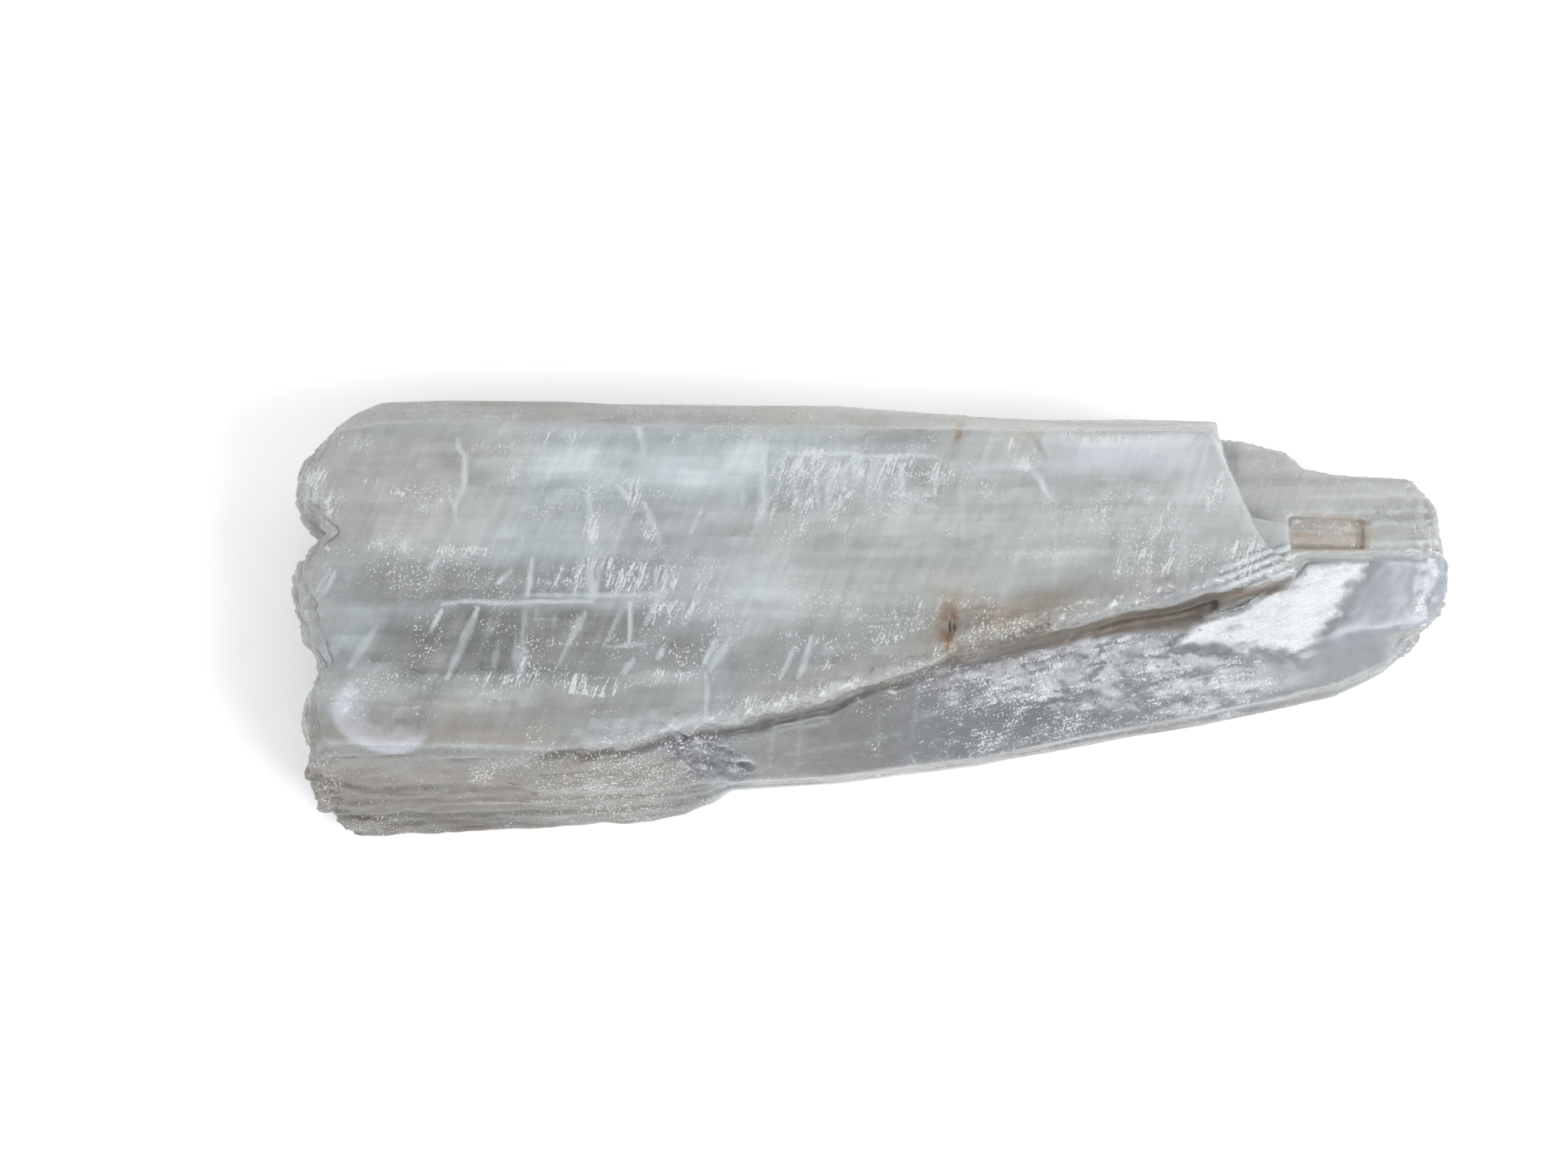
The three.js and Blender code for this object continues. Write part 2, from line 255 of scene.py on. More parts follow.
# %% Broken leaves and blocks
FINE_CELL = (3, 3, 3)
COARSE_CELL = (9, 9, 9)
EDGE_WAVER = 0.4
ROW_WAVER = 0.5


def leaf_steps(places, length, width, seed):
    """A height from -1 to 1 for each broken leaf, and how far along its leaf each point is.

    The leaves lie in rows along X, and every row is broken along the fracture.
    """
    slanted = places[:, 0] - places[:, 1] / math.tan(FRACTURE_ANGLE)
    slanted += EDGE_WAVER * grain(places, FINE_CELL, seed)
    across = places[:, 1] + ROW_WAVER * grain(places, COARSE_CELL, seed + 1)
    row = np.floor(across / width)
    along = slanted / length + hashed(row[:, None], seed + 2)
    column = np.floor(along)
    return hashed(np.column_stack([column, row]), seed + 3), along - column


def crumbs(places, cell, seed):
    """A height from -1 to 1 for each small broken block."""
    warp = EDGE_WAVER * np.column_stack([grain(places, FINE_CELL, seed + step) for step in range(3)])
    return hashed(np.floor(places / np.asarray(cell, float) + warp), seed + 3)


print("the first three points are on leaves at", leaf_steps(points[:3], 15, 4.6, 21)[0].round(2))

# %% [markdown]
# ## Where each kind of surface is
# The relief differs from face to face: fine steps on the flat top, scales on the slope below the
# ledge, thin layers on the sides, crumbs at the ends. Each kind of face is found by its height, by
# the way it points, and by which side of the ledge it is on. Faces could be picked by hand instead,
# but the picks would be lost with every remesh. A pair of limits is where a soft step starts and
# ends, so that no face begins with a hard line.

# %% Lines and limits of the faces
LEDGE_LINE = [
    (-85, -18.8), (-60, -19.2), (-43.4, -19.7), (-34.4, -19), (-25.4, -17), (-17.4, -15.4),
    (-7, -12.8), (6.6, -8.7), (11, -6.6), (20.6, -4), (33.6, -0.4), (45, 2.4), (51.6, 3.1),
    (57, 4.4), (60, 7.8), (85, 8.2),
]
MIRROR_EDGE = [(40, -4.4), (44, -2), (50.5, 1.6), (57, 4), (60, 7.2), (85, 8)]
TOP_HEIGHT = cad_box[1][2] / MM
TOP_BAND = (TOP_HEIGHT - 4.5, TOP_HEIGHT - 2.5)
TERRACE_BAND = (TOP_HEIGHT - 4, TOP_HEIGHT - 6)
BASE_BAND = (1.0, 0.3)
FACING_UP = (0.5, 0.8)
LEANING_UP = (0.3, 0.6)
NOT_UPRIGHT = (0.35, 0.65)
FACING_DOWN = (0.6, 0.9)
LEDGE_BLUR = (-0.6, 0.4)
MIRROR_BLUR = (-0.3, 0.6)
MIRROR_START = (39, 43)
MIRROR_END = (65.6, 62.4)
MIRROR_FRONT = (-6.5, -3)
MIRROR_LEAN = 0.7
SATIN_FRONT = (-6, -4)
RAGGED_CELL = (3.2, 1.4, 3)
RAGGED_REACH = 1.2
BLOCK_END = (-19, -24)
TERRACE_START = (47, 51)
LEFT_END = (-70, -76)
RIGHT_END = (71, 76)
print("the top is", round(TOP_HEIGHT, 2), "mm above the base")

# %% Find the faces
MARKED = 0.3


def line_at(line, place):
    """The value of a line, given as pairs of place and value, at each place."""
    return np.interp(place, *zip(*line))


def find_faces(places, directions):
    """How much each point belongs to each kind of face, from 0 to 1, and how far it is from the ledge."""
    x, y, z = places.T
    up = rise(directions[:, 2], *FACING_UP)
    ledge = line_at(LEDGE_LINE, x)
    behind = rise(y - ledge, *LEDGE_BLUR)
    ahead = 1 - behind
    ragged_x = x - MIRROR_LEAN * y + RAGGED_REACH * layered_grain(places, RAGGED_CELL, 7)
    ragged_y = y + RAGGED_REACH * layered_grain(places, RAGGED_CELL, 12)
    below_edge = rise(line_at(MIRROR_EDGE, x) - y, *MIRROR_BLUR)
    mirror = up * below_edge * rise(x, *MIRROR_START)
    return {
        "top": up * rise(z, *TOP_BAND) * behind,
        "side": 1 - rise(np.abs(directions[:, 2]), *NOT_UPRIGHT),
        "base": rise(-directions[:, 2], *FACING_DOWN) * rise(z, *BASE_BAND),
        "slope": rise(directions[:, 2], *LEANING_UP) * ahead * rise(x, *BLOCK_END[::-1]),
        "mirror": mirror * rise(ragged_x, *MIRROR_END) * rise(ragged_y, *MIRROR_FRONT),
        "satin": up * ahead * rise(ragged_x, *MIRROR_END[::-1]) * rise(y, *SATIN_FRONT),
        "front_block": ahead * rise(x, *BLOCK_END),
        "terrace": up * behind * rise(x, *TERRACE_START) * rise(z, *TERRACE_BAND),
        "left_end": rise(x, *LEFT_END),
        "right_end": rise(x, *RIGHT_END),
        "from_ledge": y - ledge,
    }


def print_cover(name, mark):
    """Prints how many of the points a mark covers."""
    print(name + ":", round(100 * float((mark > MARKED).mean()), 1), "% of the points")


faces = find_faces(points, normals)
for name in ("top", "side", "slope", "mirror", "front_block", "terrace"):
    print_cover(name, faces[name])

# %% [markdown]
# ## Calming the flat faces
# A cleavage face is flatter than the remesh leaves it. The shallow hollows of the top, the chip and
# the stained pocket are lifted towards their faces. The top, the clear ends of the slope and the
# shoulder of the front block are then smoothed, and the face that mirrors the light is pressed onto
# a plane. Smoothing everything alike would round the ledge too, so each part has a group of points.

# %% Lift the hollows
TOP_FLATTENING = 0.97
TOP_ROUNDING = 0.2
CHIP_FLATTENING = 0.5
CHIP_CENTRE = (-64.8, -14.3)
CHIP_SIZE = (6.5, 5.1)
POCKET_X = (56, 69)
POCKET_Y = (7.8, 13.6)
POCKET_DEPTH = 0.45


def oval_reach(places, centre, size, lean=0.0):
    """How far each point is from the middle of an oval, seen from above: 1 on its rim."""
    along = places[:, 0] - centre[0]
    across = places[:, 1] - centre[1] - lean * along
    return np.hypot(along / size[0], across / size[1])


def lift(part, level, most):
    """Lifts a part of the skin towards a level, by no more than the most."""
    points[:, 2] += part * np.clip(level - points[:, 2], 0, most)


x, y, z = points.T
upward = rise(normals[:, 2], 0.02, 0.25)
chip_reach = oval_reach(points, CHIP_CENTRE, CHIP_SIZE)
lid = upward * rise(z, *TOP_BAND) * rise(faces["from_ledge"], 0.6, 1.6)
lid *= rise(chip_reach, 1.0, 1.25) * rise(y, 24.5, 23) * rise(x, -76, -73) * rise(x + 0.55 * y, 58, 56.5)
lift(TOP_FLATTENING * lid, TOP_HEIGHT - TOP_ROUNDING, 1.8)
dish = upward * rise(chip_reach, 1.15, 0.95) * rise(z, TOP_HEIGHT - 8, TOP_HEIGHT - 5)
lift(CHIP_FLATTENING * dish, TOP_HEIGHT - TOP_ROUNDING, 4)
in_pocket = (x > POCKET_X[0]) * (x < POCKET_X[1]) * (y > POCKET_Y[0]) * (y < POCKET_Y[1])
terrace_height = np.median(z[faces["terrace"] > 0.9])
lift(upward * in_pocket, terrace_height - POCKET_DEPTH, 3)
skin.vertices.foreach_set("co", (points * MM).ravel())
print("the terrace lies at", round(float(terrace_height), 2), "mm")

# %% Smooth the faces
TOP_STEPS = 24
SLOPE_STEPS = 40
MIRROR_STEPS = 12
LEAST_WEIGHT = 0.01


def add_group(piece, name, weights):
    """Makes a group of points from one weight for each point."""
    group = piece.vertex_groups.new(name=name)
    for index in np.flatnonzero(weights > LEAST_WEIGHT):
        group.add([int(index)], float(weights[index]), "REPLACE")


clear_slope = np.maximum(rise(x, 18, 8), rise(x, 51, 56)) * rise(faces["from_ledge"], -2, -4)
block_shoulder = rise(np.abs(faces["from_ledge"]), 3.0, 1.2) * rise(x, -42, -48) * rise(z, 12, 16)
CALMED = {
    "top": (np.maximum(lid, faces["top"]), TOP_STEPS),
    "slope": (faces["slope"] * clear_slope, SLOPE_STEPS),
    "shoulder": (block_shoulder, SLOPE_STEPS),
    "mirror": (np.maximum(faces["mirror"], faces["satin"]), MIRROR_STEPS),
}
for name, (weights, steps) in CALMED.items():
    add_group(crystal, name, weights)
    smooth(crystal, steps, name)
    print(name, "is smoothed", steps, "times at", int((weights > LEAST_WEIGHT).sum()), "points")
skin = applied(crystal)
crystal.vertex_groups.clear()

# %% Press the bright face onto a plane
PLANE_START = 45.5
SURELY = 0.8

points, normals = read_points(skin)
faces = find_faces(points, normals)
mirror_points = points[(faces["mirror"] > SURELY) & (points[:, 0] > PLANE_START)]
mirror_plane = np.column_stack([mirror_points[:, :2], np.ones(len(mirror_points))])
slope_x, slope_y, level = np.linalg.lstsq(mirror_plane, mirror_points[:, 2], rcond=None)[0]
flat = slope_x * points[:, 0] + slope_y * points[:, 1] + level
points[:, 2] += faces["mirror"] * (flat - points[:, 2])
mirror_normal = Vector((-slope_x, -slope_y, 1)).normalized()
mirror_centre = Vector(mirror_points.mean(0)) * MM
print("the mirror face points", [round(value, 2) for value in mirror_normal])

# %% [markdown]
# ## The window
# The face at the narrow end is the brightest in the picture because it mirrors a window, and a
# painted glare adds to it. So the window stands about where that face sends the viewer's line of
# sight, in front and to the right.
# It also lights the slope from there, and gives a glint to every crushed leaf that happens to face
# it. A window could be painted on the sky, but a lamp of its own size and place is easier to move.

# %% Place the window
WINDOW_SIZE = (0.43, 0.35)
WINDOW_PLACE = Vector((0.48, -0.31, 0.62))
WINDOW_POWER = 5.4
WINDOW_COLOUR = (0.95, 0.975, 1.0)

to_window = (WINDOW_PLACE - mirror_centre).normalized()
to_camera = (camera.location - mirror_centre).normalized()
between = (to_window + to_camera).normalized().angle(mirror_normal)
window = bpy.data.lights.new("window", "AREA")
window.shape = "RECTANGLE"
window.size, window.size_y = WINDOW_SIZE
window.energy = WINDOW_POWER
window.color = WINDOW_COLOUR
window_stand = bpy.data.objects.new("window", window)
window_stand.location = WINDOW_PLACE
window_stand.rotation_euler = (-to_window).to_track_quat("-Z", "Y").to_euler()
scene.collection.objects.link(window_stand)
print("the bright face is", round(math.degrees(between), 1), "degrees from mirroring its middle")

# %% [markdown]
# ## Carving the leaves
# Every cut here is along the surface's own normal and about a millimetre deep at most. The top gets
# thin steps with edges along the length and along the fracture, the slope gets scales that run with
# the ledge, the sides get the layers' edges, and the ends get crumbs. The ridges of the chip, the
# crumbling rim of the ledge, the groove below it, a rough spot and a fan of splinters come last.
# A displacement modifier gives a whole piece one pattern. Sums over the points give each face its own.

# %% Carve the top and the slope
HAIR_DEPTH = 0.006
LEAF_DEPTH = 0.13
SMALL_LEAF_DEPTH = 0.06
RIPPLE_DEPTH = 0.08
SCALE_DEPTH = 0.2
SCALE_CRUMB_DEPTH = 0.05
SCALES_START = (-4, 12)
SCALES_END = (56, 51)


def slope_ripples(places):
    """Noise for the small scales of the slope, which run with the ledge."""
    return layered_grain(turned(places, LEDGE_ANGLE), (3.2, 0.9, 2), 41, 2)


def show_depth(part):
    """Prints how deep the relief is so far."""
    print("with", part, "the relief is up to", round(float(np.abs(relief).max()), 2), "mm deep")


x, y, z = points.T
along_ledge = turned(points, LEDGE_ANGLE)
relief = HAIR_DEPTH * grain(points, (22, 0.9, 0.9), 11)
leaves = LEAF_DEPTH * leaf_steps(points, 15, 4.6, 21)[0]
leaves += SMALL_LEAF_DEPTH * leaf_steps(points, 6, 1.9, 26)[0]
relief += faces["top"] * leaves * rise(layered_grain(points, (26, 12, 30), 31), -0.2, 0.5)
scales = RIPPLE_DEPTH * slope_ripples(points)
scales += SCALE_DEPTH * layered_grain(along_ledge, (13, 5, 9), 61, 2)
scales += SCALE_CRUMB_DEPTH * crumbs(along_ledge, (3.2, 0.7, 2), 65)
relief += faces["slope"] * scales * rise(x, *SCALES_START) * rise(x, *SCALES_END) * (1 - faces["mirror"])
show_depth("the top and the slope")

# %% Carve the sides and the ends
LAYER_STEPS = 2.5
LAYER_DEPTH = 0.24
SIDE_DEPTH = 0.1
END_DEPTH = 0.35
SMALL_END_DEPTH = 0.2
BLOCK_DEPTH = 0.22
PARTING_DEPTH = 0.3


def find_partings(places):
    """Thin dark lines where the leaves of the front block have parted, broken here and there."""
    crossing = np.abs(layered_grain(places, (24, 24, 1.9), 15, 2))
    share = 0.4 + 0.6 * rise(places[:, 0], -38, -52)
    return share * rise(crossing, 0.16, 0.04) * rise(layered_grain(places, (11, 11, 2.5), 16, 2), 0.0, 0.4)


layer_edges = np.round(LAYER_STEPS * grain(points, (60, 60, 1.9), 71)) / LAYER_STEPS
layers = LAYER_DEPTH * layer_edges + SIDE_DEPTH * layered_grain(points, (9, 9, 2.4), 75, 2)
relief += faces["side"] * (1 - 0.5 * faces["front_block"]) * layers
ends = np.maximum(faces["left_end"], faces["right_end"]) * (1 - faces["top"])
end_crumbs = END_DEPTH * crumbs(points, (2.4, 2.6, 1.3), 81)
end_crumbs += SMALL_END_DEPTH * crumbs(points, (1.1, 1.2, 0.8), 86)
relief += ends * (1 - 0.8 * faces["satin"]) * end_crumbs
relief += BLOCK_DEPTH * faces["front_block"] * layered_grain(points, (3.4, 2.6, 2.0), 85, 2)
relief -= PARTING_DEPTH * faces["front_block"] * find_partings(points)
show_depth("the sides and the ends")

# %% Carve the chip, the rim and the groove
CHIP_DEPTH = 0.14
CHIP_ANGLE = -0.5
CHIP_BAND = (20, 23)
RIM_OFFSET = 0.8
RIM_DEPTH = 0.22
SMALL_RIM_DEPTH = 0.14
GROOVE_DEPTH = 0.6
SHEEN_DEPTH = 0.03


def find_groove(places, from_ledge):
    """The thin open crack under the ledge where the ledge is low."""
    wandering = np.abs(from_ledge + 0.9 + 0.7 * layered_grain(places, (6, 6, 6), 14))
    return rise(wandering, 0.75, 0.25) * rise(places[:, 0], -47, -43) * rise(places[:, 0], 14, 9)


chip = rise(oval_reach(points, CHIP_CENTRE, CHIP_SIZE), 1.2, 0.9) * rise(z, *CHIP_BAND)
relief += CHIP_DEPTH * chip * layered_grain(turned(points, CHIP_ANGLE), (4, 0.9, 3), 99)
crumble = rise(np.abs(faces["from_ledge"] - RIM_OFFSET), 2.6, 0.4) * rise(z, 21, 24) * rise(x, -48, -40)
rim_crumbs = RIM_DEPTH * crumbs(points, (2.2, 1.5, 1.4), 91)
rim_crumbs += SMALL_RIM_DEPTH * crumbs(points, (1.0, 0.9, 0.9), 96)
relief += crumble * rim_crumbs
relief -= GROOVE_DEPTH * find_groove(points, faces["from_ledge"])
sheen = SHEEN_DEPTH * np.maximum(faces["mirror"], faces["satin"])
relief += sheen * layered_grain(along_ledge, (1.9, 1.0, 3), 95, 2)
show_depth("the chip, the rim and the groove")

# %% Carve the rough spot and the splinters
ROUGH_CENTRE = (-22.8, -20)
ROUGH_SIZE = (6.6, 2.6)
ROUGH_LEAN = -0.2
ROUGH_ANGLE = -0.35
ROUGH_DEPTH = 0.5
FAN_CENTRE = (52.5, 5.2)
FAN_SIZE = (6.5, 2.7)
FAN_LEAN = 0.38
FAN_BAND = (19, 22)
SPLINTER_TURN = 21
SPLINTER_WIDTH = 1.15
SPLINTER_DEPTH = 0.5


def rough_ridges(places):
    """Noise for the short ridges of the rough spot."""
    return layered_grain(turned(places, ROUGH_ANGLE), (3.2, 0.9, 1.5), 97)


def splinter_heights(places):
    """0 in the valley between two splinters and 0.5 on the crest of one."""
    splinters = turned(places, math.radians(SPLINTER_TURN))
    ridge = splinters[:, 1] / SPLINTER_WIDTH + 0.25 * grain(splinters, (5, 3, 3), 98)
    return np.abs((ridge % 1) - 0.5)


rough_spot = oval_reach(points, ROUGH_CENTRE, ROUGH_SIZE, ROUGH_LEAN)
rough_spot = rise(rough_spot, 1.15, 0.8) * (1 - faces["top"])
relief += ROUGH_DEPTH * rough_spot * rough_ridges(points)
fan = rise(oval_reach(points, FAN_CENTRE, FAN_SIZE, FAN_LEAN), 1.1, 0.8) * rise(z, *FAN_BAND)
relief += SPLINTER_DEPTH * fan * (splinter_heights(points) - 0.25)
show_depth("the rough spot and the splinters")

# %% Press the relief into the skin
SHALLOW = 0.5

relief *= 1 - faces["base"]
carved = points + normals * relief[:, None]
carved[:, 2] = np.maximum(carved[:, 2], 0)
skin.vertices.foreach_set("co", (carved * MM).ravel())
skin.update()
shallow_share = float((np.abs(relief) < SHALLOW).mean())
print(round(100 * shallow_share, 1), "% of the points move by less than", SHALLOW, "mm")

# %% [markdown]
# ## Fewer triangles where little shows
# The flat base needs no detail and the sides need less than the top. A weighted decimation takes
# the count below what a piece may have, and leaves the top as it is.

# %% Thin out the base and the sides
MOST_TRIANGLES = 196000
NEAR_BASE = (1.6, 0.2)
SIDE_THINNING = 0.3
OTHER_THINNING = 0.12

thinning = np.maximum(SIDE_THINNING * faces["side"], OTHER_THINNING * (1 - faces["top"]))
add_group(crystal, "thin", np.maximum(rise(z, *NEAR_BASE), thinning))
thin = crystal.modifiers.new("thin", "DECIMATE")
thin.ratio = MOST_TRIANGLES / (2 * len(skin.polygons))
thin.vertex_group = "thin"
thin.use_collapse_triangulate = True
skin = applied(crystal)
crystal.vertex_groups.clear()
skin.shade_smooth()
points, normals = read_points(skin)
faces = find_faces(points, normals)
print("the skin has", len(skin.polygons), "triangles")

# %% [markdown]
# ## Marks on the crystal
# A mark is a patch or a blade in plan, in millimetres, with a strength. Patches have the slanted
# corners of gypsum's cleavage and wavering rims. Blades are the thin cracks that stand in the clear
# parts, narrow at both ends. Marks could be painted by hand, but a list of places can be read,
# measured and moved, and it is kept on the points of the skin, where a material can read it.

# %% Streaks, strokes and leaves
STROKE_ANGLE = math.radians(70)
COMB_ANGLE = math.radians(84)

x, y, z = points.T
along_ledge = turned(points, LEDGE_ANGLE)
streaks = layered_grain(points, (18, 1.3, 9), 113)
strokes = layered_grain(turned(points, STROKE_ANGLE), (5, 1.0, 9), 107)
combed = rise(layered_grain(turned(points, COMB_ANGLE), (6, 0.8, 9), 117), 0.0, 0.8)
shards = rise(layered_grain(turned(points, FRACTURE_ANGLE), (8, 0.9, 12), 109, 2), 0.35, 0.95)
clouds = layered_grain(points, (14, 8, 9), 111)
bands = layered_grain(points, (50, 50, 1.6), 121, 2)
big_leaf, along_big = leaf_steps(points, 17, 6, 127)
small_leaf, along_small = leaf_steps(points, 6, 2.2, 133)
leaf_tones = 0.6 * big_leaf * (1.4 - along_big) + 0.5 * small_leaf * (1.4 - along_small)
flake, along_flake = leaf_steps(points, 3.4, 1.2, 139)
flakes = rise(flake, 0.8, 0.85) * (1 - along_flake)
print("streaks, strokes, shards, clouds and leaves cover", len(points), "points")

# %% Patches
SHEAR = 1 / math.tan(FRACTURE_ANGLE)
CORNER_POWER = 4

waver = np.column_stack([layered_grain(points, (6, 6, 6), seed) for seed in (101, 105)])


def patch(centre, size, strength=1.0, turn=0, edge=0.35, ragged=0.8, shear=SHEAR):
    """A patch with rounded corners and a wavering rim."""
    angle = math.radians(turn)
    offset = points[:, :2] + ragged * waver - centre
    along = offset[:, 0] * math.cos(angle) + offset[:, 1] * math.sin(angle)
    across = offset[:, 1] * math.cos(angle) - offset[:, 0] * math.sin(angle)
    along = (along - shear * across) * 2 / size[0]
    across = across * 2 / size[1]
    reach = (along**CORNER_POWER + across**CORNER_POWER) ** (1 / CORNER_POWER)
    return strength * rise(reach, 1 + edge, 1 - edge)


def strongest(marks):
    """The strongest of several marks at each point."""
    return np.max(marks, axis=0)


print("the rims waver by up to", round(float(np.abs(waver).max()), 1), "mm")

# %% Blades
LEAST_HALF = 0.22
HALF_WIDTH = 0.42
BLADE_BLUR = 0.15
BLADE_CORE = 0.35
BLADE_ENDS = (0.04, 0.96)
BLADE_GAIN = 1.2


def blade(corners, width, strength=1.0, ragged=0.3):
    """A blade through corners, narrow at both ends and combed into strands."""
    place = points[:, :2] + ragged * waver
    corners = np.array(corners, float)
    lengths = np.linalg.norm(np.diff(corners, axis=0), axis=1)
    starts = np.concatenate([[0], np.cumsum(lengths)])
    mark = np.zeros(len(points))
    for start, end, before, length in zip(corners[:-1], corners[1:], starts, lengths):
        along = np.clip((place - start) @ (end - start) / length**2, 0, 1)
        distance = np.linalg.norm(place - start - along[:, None] * (end - start), axis=1)
        share = np.clip((before + along * length) / starts[-1], *BLADE_ENDS)
        half = LEAST_HALF + HALF_WIDTH * width * np.sin(np.pi * share)
        mark = np.maximum(mark, rise(distance, half + BLADE_BLUR, BLADE_CORE * half))
    strands = 0.5 + 0.5 * rise(combed + 0.4 * streaks, -0.3, 0.5)
    return np.minimum(BLADE_GAIN * strength, 1) * mark * strands


def all_blades(lines, part):
    """The blades of a list, on one part of the skin."""
    return part * strongest([blade(*values) for values in lines])


print("a blade of width 1 is", round(2 * (LEAST_HALF + HALF_WIDTH), 2), "mm across at its middle")

# %% [markdown]
# ## How bright each part is
# The crystal is darker where it is clear, because the light goes on through it, and brighter where
# many fine cracks send the light back. The brightness starts from a slow change along the length,
# and patches then pull it towards their own brightness. The front block, the foil-like scales of the
# slope, the terrace, the sides and the hollows follow, each with the grain of its own face. Some of
# it is painted light and shade: the crests of the slope's scales, of the rough spot and of the
# splinters are painted lighter, and the hollow under the ledge, the groove, the valleys between those
# crests and the front side under the ledge at the right are painted darker, as shade.

# %% Brightness of the top
TONE_ALONG = [(-80, 0.52), (-60, 0.53), (-20, 0.57), (15, 0.57), (45, 0.57), (80, 0.55)]
TOP_TONES = [
    (0.35, patch((-58.5, 3), (27, 5.8), 0.85, edge=0.4, ragged=1.0)),
    (0.30, patch((-50, -5.8), (36, 9.8), 1.0, edge=0.4, ragged=1.4)),
    (0.33, patch((-37, -5), (14, 9), 0.8, edge=0.5, ragged=1.2)),
    (0.345, patch((-25.8, -6.4), (7, 6.5), 0.8, edge=0.5)),
    (0.38, patch((-15.6, -7.4), (9, 4.8), 0.5, edge=0.7, ragged=1.4)),
    (0.40, patch((-57, -6), (2.6, 11), 0.75, edge=0.6)),
    (0.38, patch((-46, -5.5), (2.6, 12), 0.8, edge=0.6)),
    (0.36, patch((-62, -6), (1.8, 9), 0.6, edge=0.6)),
    (0.36, patch((-40, -5), (1.6, 8), 0.6, edge=0.6)),
    (0.38, patch((-66.5, 3), (2.4, 6), 0.6, edge=0.6)),
    (0.39, patch((-55.5, 3), (2, 6), 0.6, edge=0.6)),
    (0.38, patch((-31.5, -5), (2.4, 9), 0.6, edge=0.6)),
    (0.40, patch((-37, 3.4), (18, 5), 0.85, edge=0.25, ragged=0.5)),
    (0.37, patch((-57.2, 19), (3.6, 2.6), 0.6, edge=0.8, shear=0)),
    (0.37, patch((-50.6, 20.6), (4, 1.8), 0.5, edge=0.8, shear=0)),
    (0.38, patch((-36.2, 20), (3.6, 1.5), 0.5, edge=0.8, shear=0)),
    (0.39, patch((-36, -13.8), (20, 4), 0.7)),
    (0.80, patch((-29, 18.4), (36, 5.4), 0.9, edge=0.6, ragged=1.2)),
    (0.43, patch((-9, 16.2), (13, 9), 0.75, edge=0.5)),
    (0.45, patch((0, 17.4), (13, 6), 0.75, edge=0.4)),
    (0.46, patch((1, 21.8), (14, 2.4), 0.7, edge=0.5)),
    (0.42, patch((-9, -6.5), (20, 7), 0.8, turn=10, edge=0.6)),
    (0.43, patch((6, 16.8), (3.6, 2.6), 0.8, ragged=0.2)),
    (0.58, patch((16.4, 16.6), (9, 3.2), 0.8, ragged=0.3, shear=0)),
    (0.70, patch((19.5, 18.5), (2.4, 2), 0.9, ragged=0.3, shear=0)),
    (0.66, patch((18.6, 21.4), (2, 1.1), 0.9, ragged=0.2, shear=0)),
    (0.62, patch((37.4, 17.8), (15.4, 9.4), 0.8, edge=0.06, ragged=0.25, shear=-0.1)),
    (0.74, patch((36, 22), (17, 1.8), 0.8, ragged=0.4)),
    (0.50, patch((38, 16.8), (10, 4.6), 0.6, edge=0.5)),
    (0.56, patch((38.5, 6.5), (9, 8), 0.5, edge=0.5)),
    (0.50, patch((-65.4, -14.6), (11, 8), 0.6, shear=0)),
]
CLEAR = 0.36

tone = line_at(TONE_ALONG, x)
lower_top = rise(faces["from_ledge"], 9, 3) * rise(x, -24, -14) * rise(x, 48, 40)
shoulder = rise(y, -12, -18.5) * rise(x, -36, -46) * faces["top"]
tone *= 1 - 0.19 * lower_top - 0.2 * shoulder
for value, mask in TOP_TONES:
    tone += (value - tone) * mask * faces["top"]
windows = faces["top"] * strongest([mask for value, mask in TOP_TONES if value < CLEAR])
texture = 0.1 * rise(-flake, 0.7, 0.75) * (along_flake - 1) + 0.09 * clouds + 0.11 * leaf_tones
texture += 0.06 * streaks + 0.045 * strokes
tone *= 1 + texture * (0.4 + 0.6 * faces["top"] + 0.6 * windows)
print_cover("clear windows", windows)

# %% Brightness of the front block
BLOCK_TONES = [(-8, 0.245), (-2.5, 0.36)]
BLOCK_CRACKS = [
    ([(-77, -23.2), (-70, -24), (-62, -24.2), (-54, -23.8), (-46, -24.6)], 0.5, 1.0),
    ([(-74, -26.6), (-66, -27.6), (-58, -27)], 0.3, 0.8),
    ([(-55, -26.8), (-48, -27.4)], 0.3, 0.7),
]

block_side = faces["front_block"] * (1 - faces["top"])
block_tone = line_at(BLOCK_TONES, faces["from_ledge"]) * (1 + 0.2 * clouds + 0.05 * streaks)
tone += (block_tone - tone) * block_side
tone *= 1 - 0.3 * block_side * find_partings(points)
block_crack = all_blades(BLOCK_CRACKS, faces["front_block"])
tone *= 1 - 0.5 * block_crack
print("the front block has", len(BLOCK_CRACKS), "dark cracks")

# %% Brightness of the slope, the terrace and the sides
SLOPE_TONES = [(-15, 0.26), (8, 0.24), (22, 0.19), (50, 0.25), (60, 0.32), (75, 0.43)]
FOIL_START = (-4, 14)
FOIL_END = (52, 57)

tone += (line_at(SLOPE_TONES, x) - tone) * faces["slope"]
foil = slope_ripples(points) + 0.5 * layered_grain(along_ledge, (9, 3, 6), 118)
foil_cover = faces["slope"] * rise(x, *FOIL_START) * (1 - faces["mirror"]) * (1 - 0.8 * faces["satin"])
foil_cover *= 1 - 0.75 * rise(x + 1.5 * clouds, *FOIL_END)
# Painted light and shade: the brightness follows the ripples of the slope's scales, so their crests are
# painted lighter and their hollows darker.
tone *= 1 + 0.12 * foil_cover * foil
tone *= 1 + faces["terrace"] * (0.11 * layered_grain(points, (60, 1.1, 9), 123) - 0.1)
